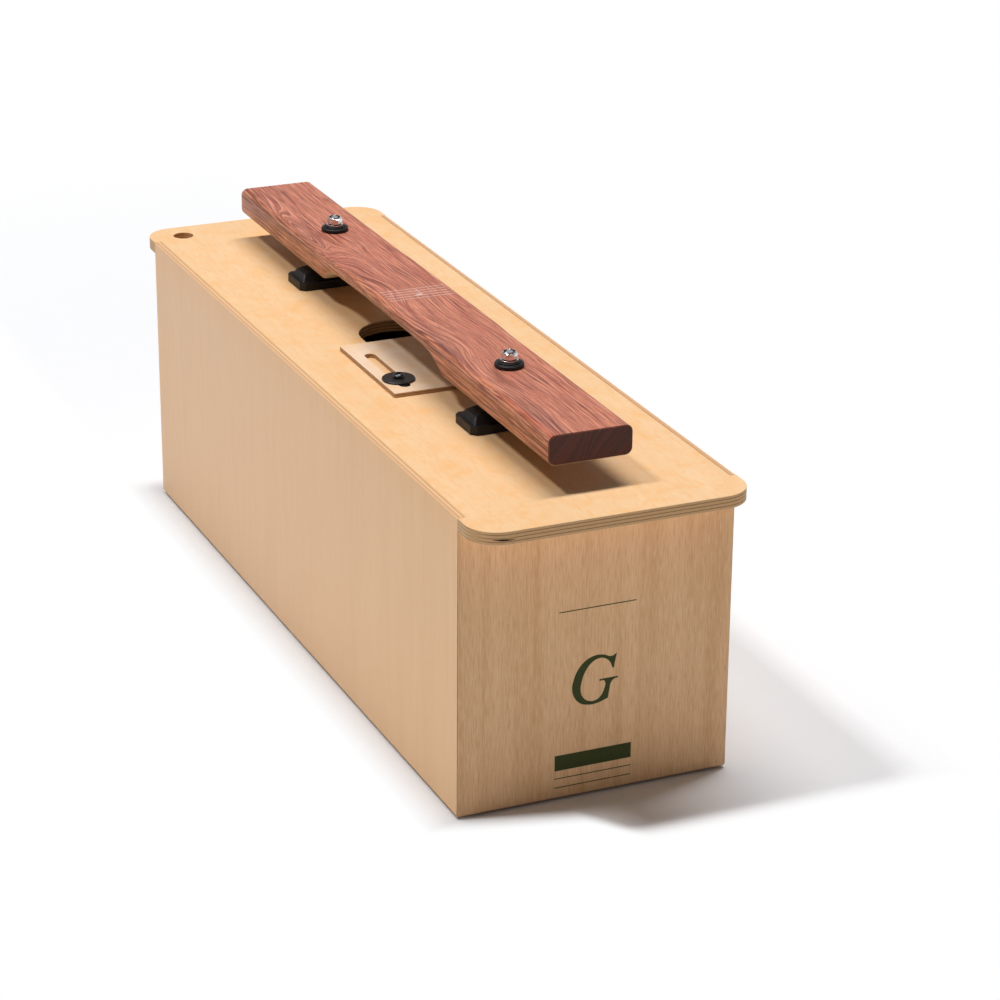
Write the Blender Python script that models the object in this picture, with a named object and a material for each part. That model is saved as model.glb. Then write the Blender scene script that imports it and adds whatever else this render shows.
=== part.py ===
"""Contrabass bar: one tuned wooden bar on its own plywood resonator box.

Metres, +Z up. X runs along the bar, the long side that faces -Y is the left side,
and the origin is on the floor under the middle of the box.
"""

import math

import bmesh
import bpy

# Gap kept between pieces that touch on the real object
SEAT = 0.0003

# Resonator box
BODY_LENGTH = 0.622
BODY_WIDTH = 0.198
TOP_HEIGHT = 0.215
PANEL_THICKNESS = 0.004
PANEL_ARRIS = 0.001
BOTTOM_THICKNESS = 0.006
CORNER_BLOCK_SIZE = 0.016
BATTEN_SIZE = 0.012
BLOCK_CHAMFER_SHARE = 0.4

# Feet
FOOT_HEIGHT = 0.002
FOOT_RADIUS = 0.008
FOOT_INSET = 0.011

# Top plate
PLATE_THICKNESS = 0.009
PLATE_OVERHANG = 0.0325
PLATE_CORNER_RADIUS = 0.022
PLATE_ARRIS = 0.0007
SOUND_HOLE_LENGTH = 0.128
SOUND_HOLE_WIDTH = 0.060
MALLET_HOLE_RADIUS = 0.008
MALLET_HOLE_FROM_END = 0.023
MALLET_HOLE_FROM_SIDE = 0.027

# Tone bar, with the arch that tunes it cut into its underside
BAR_LENGTH = 0.595
BAR_WIDTH = 0.060
BAR_THICKNESS = 0.021
BAR_EDGE_RADIUS = 0.005
BAR_EDGE_LIMIT_SHARE = 0.4
BAR_END_ARRIS = 0.0006
ARCH_LENGTH = 0.237
ARCH_RAMP = 0.036
ARCH_SHOULDER = 0.0105
ARCH_DEPTH = 0.0130
BOLT_SPACING = 0.3325

# Moulded rests that carry the bar
REST_LENGTH = 0.068
REST_WIDTH = 0.0325
REST_BASE_HEIGHT = 0.006
REST_CHAMFER = 0.0035
REST_ROOF_LENGTH = 0.062
REST_ROOF_WIDTH = 0.0254
REST_ROOF_CHAMFER = 0.0008
REST_SHOULDER_LENGTH = 0.0568
REST_SHOULDER_WIDTH = 0.0174
REST_SHOULDER_HEIGHT = 0.0107
REST_NECK_LENGTH = 0.042
REST_NECK_WIDTH = 0.0135
REST_NECK_HEIGHT = 0.0130
REST_CREST_LENGTH = 0.040
REST_CREST_WIDTH = 0.0085
REST_HEIGHT = 0.0189
REST_PEG_RADIUS = 0.0025
REST_PEG_LENGTH = 0.005
REST_PEG_SPACING = 0.050

# Bolt, rubber bush, washers and nut at each end of the bar
BOLT_RADIUS = 0.003
BOLT_HOLE_CLEARANCE = 0.0004
BOLT_HEAD_HEIGHT = 0.004
BOLT_BELOW_NUT_TOP = 0.0003
HEX_ACROSS_FLATS = 0.010
UNDER_WASHER_RADIUS = 0.009
UNDER_WASHER_THICKNESS = 0.0016
SLEEVE_WALL = 0.002
BUSH_FLANGE_RADIUS = 0.0103
BUSH_FLANGE_HEIGHT = 0.0029
BUSH_COLLAR_RADIUS = 0.0081
BUSH_COLLAR_HEIGHT = 0.0011
NUT_WASHER_RADIUS = 0.0064
NUT_WASHER_THICKNESS = 0.0009
NUT_HEX_HEIGHT = 0.0042
NUT_CHAMFER_SHARE = 0.7
NUT_TURN_DEGREES = 6.6
NUT_COLLAR_RADIUS = 0.0048
NUT_COLLAR_HEIGHT = 0.0010
NUT_COLLAR_WALL = 0.0004
NUT_LIP_WIDTH = 0.0003
LOCK_RING_THICKNESS = 0.0012

# Tuning plate, which slides along X over the sound hole
TUNING_LENGTH = 0.108
TUNING_WIDTH = 0.109
TUNING_THICKNESS = 0.003
TUNING_REAR_X = -0.015
TUNING_CORNER_RADIUS = 0.0015
SLOT_LENGTH = 0.0745
SLOT_WIDTH = 0.0082
SLOT_FROM_REAR = 0.0235
SLOT_FROM_SIDE = 0.0132

# Clamp that holds the tuning plate
GUIDE_LENGTH = 0.026
GUIDE_SIDE_CLEARANCE = 0.0003
GUIDE_FROM_SLOT_FRONT = 0.0028
CLAMP_RADIUS = 0.0119
CLAMP_THICKNESS = 0.0013
CLAMP_SCREW_RADIUS = 0.0025
CLAMP_SCREW_CLEARANCE = 0.0003
CLAMP_HEAD_RADIUS = 0.0042
CLAMP_HEAD_HEIGHT = 0.0032
CLAMP_HEAD_RIM_SHARE = 0.25
CLAMP_DOME_DEGREES = 60
CLAMP_TIP_SHARE = 0.8
CLAMP_SOCKET_RADIUS = 0.0018
CLAMP_SOCKET_DEPTH = 0.0014
INSERT_BARREL_RADIUS = 0.0038
INSERT_BARREL_LENGTH = 0.0065
INSERT_FLANGE_RADIUS = 0.0085
INSERT_FLANGE_THICKNESS = 0.0014

# Facets of the round pieces, and steps along the bar
FINE_STEPS = 40
ROUND_STEPS = 24
SMALL_STEPS = 16
ARC_STEPS = 6
SMOOTH_ANGLE = math.radians(35)
BAR_CORNER_STEPS = 5
ARCH_RAMP_STEPS = 9
ARCH_CROWN_STEPS = 5
BAR_END_STEPS = 4

# Heights and places worked out from the sizes above
PANEL_BOTTOM = FOOT_HEIGHT
PLATE_BOTTOM = TOP_HEIGHT - PLATE_THICKNESS
WALL_TOP = PLATE_BOTTOM - SEAT
INNER_X = BODY_LENGTH / 2 - PANEL_THICKNESS - SEAT
INNER_Y = BODY_WIDTH / 2 - PANEL_THICKNESS - SEAT
BOTTOM_TOP = PANEL_BOTTOM + BOTTOM_THICKNESS
PLATE_LENGTH = BODY_LENGTH + 2 * PLATE_OVERHANG
REST_BOTTOM = TOP_HEIGHT + SEAT
BAR_BOTTOM = REST_BOTTOM + REST_HEIGHT + SEAT
BAR_TOP = BAR_BOTTOM + BAR_THICKNESS
BOLT_HOLE_RADIUS = BOLT_RADIUS + BOLT_HOLE_CLEARANCE
SLEEVE_RADIUS = BOLT_HOLE_RADIUS + SLEEVE_WALL
BUSH_TOP = BAR_TOP + SEAT + BUSH_FLANGE_HEIGHT + BUSH_COLLAR_HEIGHT
NUT_WASHER_BOTTOM = BUSH_TOP + SEAT
NUT_BOTTOM = NUT_WASHER_BOTTOM + NUT_WASHER_THICKNESS + SEAT
NUT_HEIGHT = NUT_HEX_HEIGHT + NUT_COLLAR_HEIGHT
NUT_TOP = NUT_BOTTOM + NUT_HEIGHT
LOCK_RING_RADIUS = NUT_COLLAR_RADIUS - NUT_COLLAR_WALL - SEAT
LOCK_RING_TOP = NUT_HEIGHT - NUT_COLLAR_WALL - SEAT
UNDER_WASHER_BOTTOM = PLATE_BOTTOM - SEAT - UNDER_WASHER_THICKNESS
TUNING_BOTTOM = TOP_HEIGHT + SEAT
TUNING_TOP = TUNING_BOTTOM + TUNING_THICKNESS
SLOT_REAR_X = TUNING_REAR_X + SLOT_FROM_REAR
CLAMP_X = SLOT_REAR_X + SLOT_LENGTH - GUIDE_FROM_SLOT_FRONT - GUIDE_LENGTH / 2
CLAMP_Y = SLOT_FROM_SIDE - TUNING_WIDTH / 2
CLAMP_HOLE_RADIUS = CLAMP_SCREW_RADIUS + CLAMP_SCREW_CLEARANCE
CLAMP_DISC_BOTTOM = TUNING_TOP + SEAT
CLAMP_HEAD_BOTTOM = CLAMP_DISC_BOTTOM + CLAMP_THICKNESS + SEAT

# Finishes: base colour, roughness, metallic
SIDE_VENEER = ((0.66, 0.50, 0.33), 0.45, 0.0)
END_VENEER = ((0.52, 0.36, 0.21), 0.50, 0.0)
TOP_VENEER = ((0.82, 0.58, 0.32), 0.40, 0.0)
PALE_PLY = ((0.80, 0.64, 0.45), 0.50, 0.0)
SPRUCE = ((0.72, 0.56, 0.36), 0.70, 0.0)
ROSEWOOD = ((0.36, 0.13, 0.09), 0.40, 0.0)
BLACK_RUBBER = ((0.015, 0.015, 0.016), 0.60, 0.0)
BLACK_PLASTIC = ((0.020, 0.020, 0.022), 0.40, 0.0)
BLACK_STEEL = ((0.05, 0.05, 0.055), 0.35, 0.8)
ZINC = ((0.70, 0.72, 0.74), 0.25, 1.0)
GREY_FELT = ((0.42, 0.42, 0.41), 0.90, 0.0)


def clear_scene():
    """Remove every object that the scene starts with."""
    for obj in list(bpy.data.objects):
        bpy.data.objects.remove(obj, do_unlink=True)


def apply_finish(obj, finish):
    """Give an object its own Principled material."""
    colour, roughness, metallic = finish
    material = bpy.data.materials.new(obj.name + "_finish")
    material.use_nodes = True
    shader = material.node_tree.nodes["Principled BSDF"]
    shader.inputs["Base Color"].default_value = (*colour, 1.0)
    shader.inputs["Roughness"].default_value = roughness
    shader.inputs["Metallic"].default_value = metallic
    material.diffuse_color = (*colour, 1.0)
    obj.data.materials.append(material)


def add_object(name, bm, location=(0.0, 0.0, 0.0), finish=None):
    """Turn a bmesh into a named object, with its material if it has a finish."""
    bmesh.ops.recalc_face_normals(bm, faces=bm.faces)
    mesh = bpy.data.meshes.new(name)
    bm.to_mesh(mesh)
    bm.free()
    obj = bpy.data.objects.new(name, mesh)
    obj.location = location
    bpy.context.scene.collection.objects.link(obj)
    if finish:
        apply_finish(obj, finish)
    return obj


def smoothing_group():
    """Node group that shades a mesh smooth where its faces meet at less than SMOOTH_ANGLE."""
    group = bpy.data.node_groups.new("smooth_by_angle", "GeometryNodeTree")
    for direction in ("INPUT", "OUTPUT"):
        group.interface.new_socket("Mesh", in_out=direction, socket_type="NodeSocketGeometry")
    entry = group.nodes.new("NodeGroupInput")
    bend = group.nodes.new("GeometryNodeInputMeshEdgeAngle")
    gentle = group.nodes.new("FunctionNodeCompare")
    gentle.operation = "LESS_THAN"
    gentle.inputs["B"].default_value = SMOOTH_ANGLE
    faces = group.nodes.new("GeometryNodeSetShadeSmooth")
    edges = group.nodes.new("GeometryNodeSetShadeSmooth")
    edges.domain = "EDGE"
    leave = group.nodes.new("NodeGroupOutput")
    group.links.new(bend.outputs["Unsigned Angle"], gentle.inputs["A"])
    group.links.new(entry.outputs["Mesh"], faces.inputs["Geometry"])
    group.links.new(faces.outputs["Geometry"], edges.inputs["Geometry"])
    group.links.new(gentle.outputs["Result"], edges.inputs["Shade Smooth"])
    group.links.new(edges.outputs["Geometry"], leave.inputs["Mesh"])
    return group


def smooth(obj):
    """Shade an object smooth after its cuts are made, with its real edges left sharp."""
    modifier = obj.modifiers.new("smoothing", "NODES")
    modifier.node_group = bpy.data.node_groups.get("smooth_by_angle") or smoothing_group()


def arc(centre, radius, start_degrees, end_degrees, steps=ARC_STEPS):
    """Points of an arc in a plane, both ends included."""
    points = []
    for index in range(steps + 1):
        angle = math.radians(start_degrees + (end_degrees - start_degrees) * index / steps)
        points.append((centre[0] + radius * math.cos(angle), centre[1] + radius * math.sin(angle)))
    return points


def rounded_rectangle(length, width, radius, steps=ARC_STEPS):
    """Outline of a rectangle round the origin with four rounded corners."""
    x = length / 2 - radius
    y = width / 2 - radius
    outline = arc((x, y), radius, 0, 90, steps)
    outline += arc((-x, y), radius, 90, 180, steps)
    outline += arc((-x, -y), radius, 180, 270, steps)
    outline += arc((x, -y), radius, 270, 360, steps)
    return outline


def stadium(length, width, steps=ROUND_STEPS // 2):
    """Outline of a slot round the origin: two half circles joined by straight sides."""
    radius = width / 2
    x = length / 2 - radius
    return arc((x, 0.0), radius, -90, 90, steps) + arc((-x, 0.0), radius, 90, 270, steps)


def regular_outline(radius, sides, turn_degrees=0.0):
    """Corners of a regular polygon round the origin."""
    points = []
    for index in range(sides):
        angle = math.radians(turn_degrees) + 2 * math.pi * index / sides
        points.append((radius * math.cos(angle), radius * math.sin(angle)))
    return points


def prism(outline, low, high):
    """Straight extrusion of a plane outline from one height to another."""
    bm = bmesh.new()
    face = bm.faces.new([bm.verts.new((x, y, low)) for x, y in outline])
    extruded = bmesh.ops.extrude_face_region(bm, geom=[face])
    moved = [item for item in extruded["geom"] if isinstance(item, bmesh.types.BMVert)]
    bmesh.ops.translate(bm, verts=moved, vec=(0.0, 0.0, high - low))
    return bm


def block(size_x, size_y, low, high):
    """Upright box round the Z axis."""
    x = size_x / 2
    y = size_y / 2
    return prism([(x, y), (-x, y), (-x, -y), (x, -y)], low, high)


def turned(profile, steps):
    """Solid of revolution about Z, from a closed profile or one that ends on the axis."""
    bm = bmesh.new()
    verts = [bm.verts.new((radius, 0.0, height)) for radius, height in profile]
    pairs = list(zip(verts, verts[1:]))
    if min(radius for radius, height in profile) > 0.0:
        pairs.append((verts[-1], verts[0]))
    edges = [bm.edges.new(pair) for pair in pairs]
    bmesh.ops.spin(bm, geom=verts + edges, cent=(0.0, 0.0, 0.0), axis=(0.0, 0.0, 1.0),
                   angle=2 * math.pi, steps=steps, use_merge=True)
    bmesh.ops.remove_doubles(bm, verts=bm.verts, dist=1e-6)
    return bm


def ring_profile(inner, outer, low, high, chamfer):
    """Profile of a washer or tube with its outer edges chamfered."""
    return [
        (inner, low), (outer - chamfer, low), (outer, low + chamfer),
        (outer, high - chamfer), (outer - chamfer, high), (inner, high),
    ]


def loft(rings):
    """Skin a list of rings that have the same number of points, and close both ends."""
    bm = bmesh.new()
    rows = [[bm.verts.new(point) for point in ring] for ring in rings]
    for row, following in zip(rows, rows[1:]):
        for index in range(len(row)):
            after = (index + 1) % len(row)
            bm.faces.new((row[index], row[after], following[after], following[index]))
    bm.faces.new(rows[0])
    bm.faces.new(rows[-1])
    return bm


def shape(obj, name, bm, operation, location=(0.0, 0.0, 0.0)):
    """Combine an object with a second, hidden shape through a Boolean modifier."""
    tool = add_object(f"{obj.name}_{name}_tool", bm, location)
    tool.hide_render = True
    tool.display_type = "WIRE"
    modifier = obj.modifiers.new(name, "BOOLEAN")
    modifier.operation = operation
    modifier.object = tool


def cut(obj, name, bm, location=(0.0, 0.0, 0.0)):
    """Take a shape out of an object."""
    shape(obj, name, bm, "DIFFERENCE", location)


def join(obj, name, bm, location=(0.0, 0.0, 0.0)):
    """Fuse a shape onto an object."""
    shape(obj, name, bm, "UNION", location)


def ease_edges(obj, width, segments=1, angle_degrees=50.0):
    """Round an object's sharp edges over with a Bevel modifier."""
    modifier = obj.modifiers.new("eased_edges", "BEVEL")
    modifier.width = width
    modifier.segments = segments
    modifier.limit_method = "ANGLE"
    modifier.angle_limit = math.radians(angle_degrees)


def long_edges_at(bm, y, z):
    """Edges of a bmesh that run along X at the given Y and Z."""
    found = []
    for edge in bm.edges:
        if all(abs(vert.co.y - y) < 1e-6 and abs(vert.co.z - z) < 1e-6 for vert in edge.verts):
            found.append(edge)
    return found


def make_side_panel(name, side):
    """Long wall that reaches the plate's top face, mitred below the plate at both ends."""
    outer = side * BODY_WIDTH / 2
    inner = outer - side * PANEL_THICKNESS
    end = BODY_LENGTH / 2
    outline = [(-end, outer), (end, outer), (end, inner), (-end, inner)]
    bm = prism(outline, PANEL_BOTTOM, TOP_HEIGHT)
    edges = long_edges_at(bm, outer, TOP_HEIGHT) + long_edges_at(bm, outer, PANEL_BOTTOM)
    bmesh.ops.bevel(bm, geom=edges, offset=PANEL_ARRIS, segments=3, profile=0.5, affect="EDGES")
    panel = add_object(name, bm, finish=SIDE_VENEER)
    beyond = PANEL_THICKNESS
    for end_name, direction in (("front", 1), ("rear", -1)):
        corner = direction * end
        wedge = [
            (corner + direction * beyond, outer + side * beyond),
            (corner + direction * beyond, inner - side * beyond),
            (corner - direction * 2 * PANEL_THICKNESS, inner - side * beyond),
        ]
        cut(panel, f"{end_name}_mitre", prism(wedge, PANEL_BOTTOM - beyond, PLATE_BOTTOM))
    return panel


def make_end_panel(name, direction):
    """Short wall between the side panels, mitred at both vertical edges."""
    outer = direction * BODY_LENGTH / 2
    inner = outer - direction * PANEL_THICKNESS
    mitre_gap = SEAT * math.sqrt(2)
    half_outer = BODY_WIDTH / 2 - mitre_gap
    half_inner = half_outer - PANEL_THICKNESS
    outline = [(outer, -half_outer), (outer, half_outer), (inner, half_inner), (inner, -half_inner)]
    panel = add_object(name, prism(outline, PANEL_BOTTOM, WALL_TOP), finish=END_VENEER)
    return panel


def make_bottom_panel():
    """Floor of the box, let in between the four walls."""
    bm = block(2 * INNER_X, 2 * INNER_Y, PANEL_BOTTOM, BOTTOM_TOP)
    panel = add_object("bottom_panel", bm, finish=PALE_PLY)
    ease_edges(panel, PANEL_ARRIS / 2)
    return panel


def make_corner_block(name, direction, side):
    """Upright glue block with a chamfered inner edge, behind one mitred corner."""
    size = CORNER_BLOCK_SIZE
    chamfer = size * BLOCK_CHAMFER_SHARE
    outline = [
        (0.0, 0.0), (-direction * size, 0.0), (-direction * size, -side * (size - chamfer)),
        (-direction * (size - chamfer), -side * size), (0.0, -side * size),
    ]
    place = (direction * INNER_X, side * INNER_Y, 0.0)
    return add_object(name, prism(outline, BOTTOM_TOP + SEAT, WALL_TOP), place, SPRUCE)


def make_batten(name, side, low, upper):
    """Glue strip along one side panel, under the plate or on the bottom panel."""
    length = 2 * (INNER_X - CORNER_BLOCK_SIZE - SEAT)
    size = BATTEN_SIZE
    chamfer = size * BLOCK_CHAMFER_SHARE
    lean = -1 if upper else 1
    base = low + size if upper else low
    section = [
        (0.0, base), (-side * size, base), (-side * size, base + lean * (size - chamfer)),
        (-side * (size - chamfer), base + lean * size), (0.0, base + lean * size),
    ]
    rings = [[(x, y, z) for y, z in section] for x in (-length / 2, length / 2)]
    return add_object(name, loft(rings), (0.0, side * INNER_Y, 0.0), SPRUCE)


def make_foot(name, direction, side):
    """Thin round pad under one corner of the box."""
    profile = [
        (0.0, 0.0), (FOOT_RADIUS - FOOT_HEIGHT / 4, 0.0), (FOOT_RADIUS, FOOT_HEIGHT / 4),
        (FOOT_RADIUS, FOOT_HEIGHT - SEAT), (0.0, FOOT_HEIGHT - SEAT),
    ]
    place = (direction * (BODY_LENGTH / 2 - FOOT_INSET), side * (BODY_WIDTH / 2 - FOOT_INSET), 0.0)
    foot = add_object(name, turned(profile, ROUND_STEPS), place, GREY_FELT)
    smooth(foot)
    return foot


def make_top_plate():
    """Plywood soundboard: rounded overhanging ends, notches for the sides, and its holes."""
    outline = rounded_rectangle(PLATE_LENGTH, BODY_WIDTH, PLATE_CORNER_RADIUS, FINE_STEPS // 4)
    plate = add_object("top_plate", prism(outline, PLATE_BOTTOM, TOP_HEIGHT), finish=TOP_VENEER)
    low = PLATE_BOTTOM - PLATE_THICKNESS
    high = TOP_HEIGHT + PLATE_THICKNESS
    notch_length = BODY_LENGTH + 2 * SEAT
    notch_depth = PANEL_THICKNESS + SEAT
    for side_name, side in (("left", -1), ("right", 1)):
        notch = block(notch_length, 2 * notch_depth, low, high)
        cut(plate, f"{side_name}_notch", notch, (0.0, side * BODY_WIDTH / 2, 0.0))
    sound_hole = stadium(SOUND_HOLE_LENGTH, SOUND_HOLE_WIDTH)
    cut(plate, "sound_hole", prism(sound_hole, low, high))
    mallet_x = MALLET_HOLE_FROM_END - PLATE_LENGTH / 2
    mallet_y = MALLET_HOLE_FROM_SIDE - BODY_WIDTH / 2
    mallet_hole = regular_outline(MALLET_HOLE_RADIUS, ROUND_STEPS)
    cut(plate, "mallet_hole", prism(mallet_hole, low, high), (mallet_x, mallet_y, 0.0))
    bolt_hole = regular_outline(BOLT_HOLE_RADIUS, SMALL_STEPS)
    peg_hole = regular_outline(REST_PEG_RADIUS + SEAT, SMALL_STEPS)
    peg_floor = REST_BOTTOM - REST_PEG_LENGTH - SEAT
    for end_name, direction in (("front", 1), ("rear", -1)):
        x = direction * BOLT_SPACING / 2
        cut(plate, f"{end_name}_bolt_hole", prism(bolt_hole, low, high), (x, 0.0, 0.0))
        for side_name, side in (("left", -1), ("right", 1)):
            place = (x, side * REST_PEG_SPACING / 2, 0.0)
            cut(plate, f"{end_name}_{side_name}_peg_hole", prism(peg_hole, peg_floor, high), place)
    insert_hole = regular_outline(INSERT_BARREL_RADIUS + SEAT, SMALL_STEPS)
    insert_top = PLATE_BOTTOM + INSERT_BARREL_LENGTH + SEAT
    cut(plate, "insert_hole", prism(insert_hole, low, insert_top), (CLAMP_X, CLAMP_Y, 0.0))
    screw_hole = regular_outline(CLAMP_HOLE_RADIUS, SMALL_STEPS)
    cut(plate, "screw_hole", prism(screw_hole, low, high), (CLAMP_X, CLAMP_Y, 0.0))
    ease_edges(plate, PLATE_ARRIS)
    smooth(plate)
    return plate


def arch_rise(x):
    """Height of the bar's underside above its ends, at a distance x from the middle."""
    half = ARCH_LENGTH / 2
    into_ramp = min(max((half - abs(x)) / ARCH_RAMP, 0.0), 1.0)
    crown = 1 - (x / half) ** 2
    depth = ARCH_SHOULDER + (ARCH_DEPTH - ARCH_SHOULDER) * crown
    return depth * math.sin(into_ramp * math.pi / 2)


def bar_stations():
    """Distances from the middle at which the bar's section is drawn, from end to end."""
    half = BAR_LENGTH / 2
    ramp_end = ARCH_LENGTH / 2
    ramp_start = ramp_end - ARCH_RAMP
    end = half - BAR_END_ARRIS
    inside = [ramp_start * step / ARCH_CROWN_STEPS for step in range(ARCH_CROWN_STEPS)]
    ramp = [ramp_start + ARCH_RAMP * step / ARCH_RAMP_STEPS for step in range(ARCH_RAMP_STEPS)]
    outside = [ramp_end + (end - ramp_end) * step / BAR_END_STEPS for step in range(BAR_END_STEPS + 1)]
    positive = inside + ramp + outside
    return [-x for x in reversed(positive[1:])] + positive


def bar_section(x, shrink=0.0):
    """One rounded cross-section of the bar, drawn inside its outline by the shrink."""
    half_width = BAR_WIDTH / 2 - shrink
    low = BAR_BOTTOM + arch_rise(x) + shrink
    high = BAR_TOP - shrink
    radius = min(BAR_EDGE_RADIUS - shrink, BAR_EDGE_LIMIT_SHARE * (high - low))
    y = half_width - radius
    outline = arc((y, high - radius), radius, 0, 90, BAR_CORNER_STEPS)
    outline += arc((-y, high - radius), radius, 90, 180, BAR_CORNER_STEPS)
    outline += arc((-y, low + radius), radius, 180, 270, BAR_CORNER_STEPS)
    outline += arc((y, low + radius), radius, 270, 360, BAR_CORNER_STEPS)
    return [(x, y_at, z_at) for y_at, z_at in outline]


def make_tone_bar():
    """Rosewood bar, lofted along its tuned underside, with a bore at each node."""
    half = BAR_LENGTH / 2
    rings = [bar_section(-half, BAR_END_ARRIS)]
    rings += [bar_section(x) for x in bar_stations()]
    rings.append(bar_section(half, BAR_END_ARRIS))
    bar = add_object("tone_bar", loft(rings), finish=ROSEWOOD)
    bore = regular_outline(SLEEVE_RADIUS + SEAT, ROUND_STEPS)
    for end_name, direction in (("front", 1), ("rear", -1)):
        drill = prism(bore, BAR_BOTTOM - BAR_THICKNESS, BAR_TOP + BAR_THICKNESS)
        cut(bar, f"{end_name}_bore", drill, (direction * BOLT_SPACING / 2, 0.0, 0.0))
    smooth(bar)
    return bar


def chamfered_rectangle(size_x, size_y, chamfer):
    """Outline of a rectangle round the origin with four cut corners."""
    x = size_x / 2
    y = size_y / 2
    return [
        (x, y - chamfer), (x - chamfer, y), (chamfer - x, y), (-x, y - chamfer),
        (-x, chamfer - y), (chamfer - x, -y), (x - chamfer, -y), (x, chamfer - y),
    ]


def make_bar_rest(name, direction):
    """Moulded rest: chamfered base, hipped roof, narrow crest, two pegs and the bolt's hole."""
    levels = [
        (REST_WIDTH, REST_LENGTH, REST_CHAMFER, 0.0),
        (REST_WIDTH, REST_LENGTH, REST_CHAMFER, REST_BASE_HEIGHT),
        (REST_ROOF_WIDTH, REST_ROOF_LENGTH, REST_ROOF_CHAMFER, REST_BASE_HEIGHT),
        (REST_SHOULDER_WIDTH, REST_SHOULDER_LENGTH, REST_ROOF_CHAMFER, REST_SHOULDER_HEIGHT),
        (REST_NECK_WIDTH, REST_NECK_LENGTH, REST_ROOF_CHAMFER, REST_NECK_HEIGHT),
        (REST_CREST_WIDTH, REST_CREST_LENGTH, REST_ROOF_CHAMFER, REST_HEIGHT),
    ]
    rings = []
    for size_x, size_y, chamfer, height in levels:
        outline = chamfered_rectangle(size_x, size_y, chamfer)
        rings.append([(x, y, height) for x, y in outline])
    place = (direction * BOLT_SPACING / 2, 0.0, REST_BOTTOM)
    rest = add_object(name, loft(rings), place, BLACK_RUBBER)
    peg = regular_outline(REST_PEG_RADIUS, SMALL_STEPS)
    for side_name, side in (("left", -1), ("right", 1)):
        peg_place = (place[0], side * REST_PEG_SPACING / 2, place[2])
        join(rest, f"{side_name}_peg", prism(peg, -REST_PEG_LENGTH, REST_BASE_HEIGHT / 2), peg_place)
    bore = regular_outline(BOLT_HOLE_RADIUS, SMALL_STEPS)
    cut(rest, "bore", prism(bore, -REST_HEIGHT, 2 * REST_HEIGHT), place)
    return rest


def make_bolt(name, direction):
    """Hexagon bolt from inside the box, up through the rest and the bar to the nut."""
    head_top = UNDER_WASHER_BOTTOM - SEAT
    head = regular_outline(HEX_ACROSS_FLATS / math.sqrt(3), 6)
    place = (direction * BOLT_SPACING / 2, 0.0, head_top)
    bolt = add_object(name, prism(head, -BOLT_HEAD_HEIGHT, 0.0), place, ZINC)
    reach = NUT_TOP - BOLT_BELOW_NUT_TOP - head_top
    shank = [
        (0.0, -BOLT_HEAD_HEIGHT / 2), (BOLT_RADIUS, -BOLT_HEAD_HEIGHT / 2),
        (BOLT_RADIUS, reach - BOLT_RADIUS / 6), (BOLT_RADIUS * 5 / 6, reach), (0.0, reach),
    ]
    join(bolt, "shank", turned(shank, SMALL_STEPS), place)
    smooth(bolt)
    return bolt


def make_washer(name, place, radius, thickness, finish):
    """Plain washer for the bolt, with its outer edges eased."""
    profile = ring_profile(BOLT_HOLE_RADIUS, radius, 0.0, thickness, thickness / 5)
    washer = add_object(name, turned(profile, ROUND_STEPS), place, finish)
    smooth(washer)
    return washer


def make_bush(name, direction):
    """Rubber bush in the bar's bore: a sleeve, a flange on the bar and a raised collar."""
    flange_top = BUSH_FLANGE_HEIGHT
    collar_top = flange_top + BUSH_COLLAR_HEIGHT
    round_off = BUSH_FLANGE_HEIGHT / 4
    profile = [
        (BOLT_HOLE_RADIUS, -BAR_THICKNESS), (SLEEVE_RADIUS, -BAR_THICKNESS), (SLEEVE_RADIUS, 0.0),
        (BUSH_FLANGE_RADIUS - round_off / 2, 0.0), (BUSH_FLANGE_RADIUS, round_off / 2),
        (BUSH_FLANGE_RADIUS, flange_top - round_off), (BUSH_FLANGE_RADIUS - round_off, flange_top),
        (BUSH_COLLAR_RADIUS, flange_top), (BUSH_COLLAR_RADIUS, collar_top - round_off / 2),
        (BUSH_COLLAR_RADIUS - round_off / 2, collar_top), (BOLT_HOLE_RADIUS, collar_top),
    ]
    place = (direction * BOLT_SPACING / 2, 0.0, BAR_TOP + SEAT)
    bush = add_object(name, turned(profile, ROUND_STEPS), place, BLACK_RUBBER)
    smooth(bush)
    return bush


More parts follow.
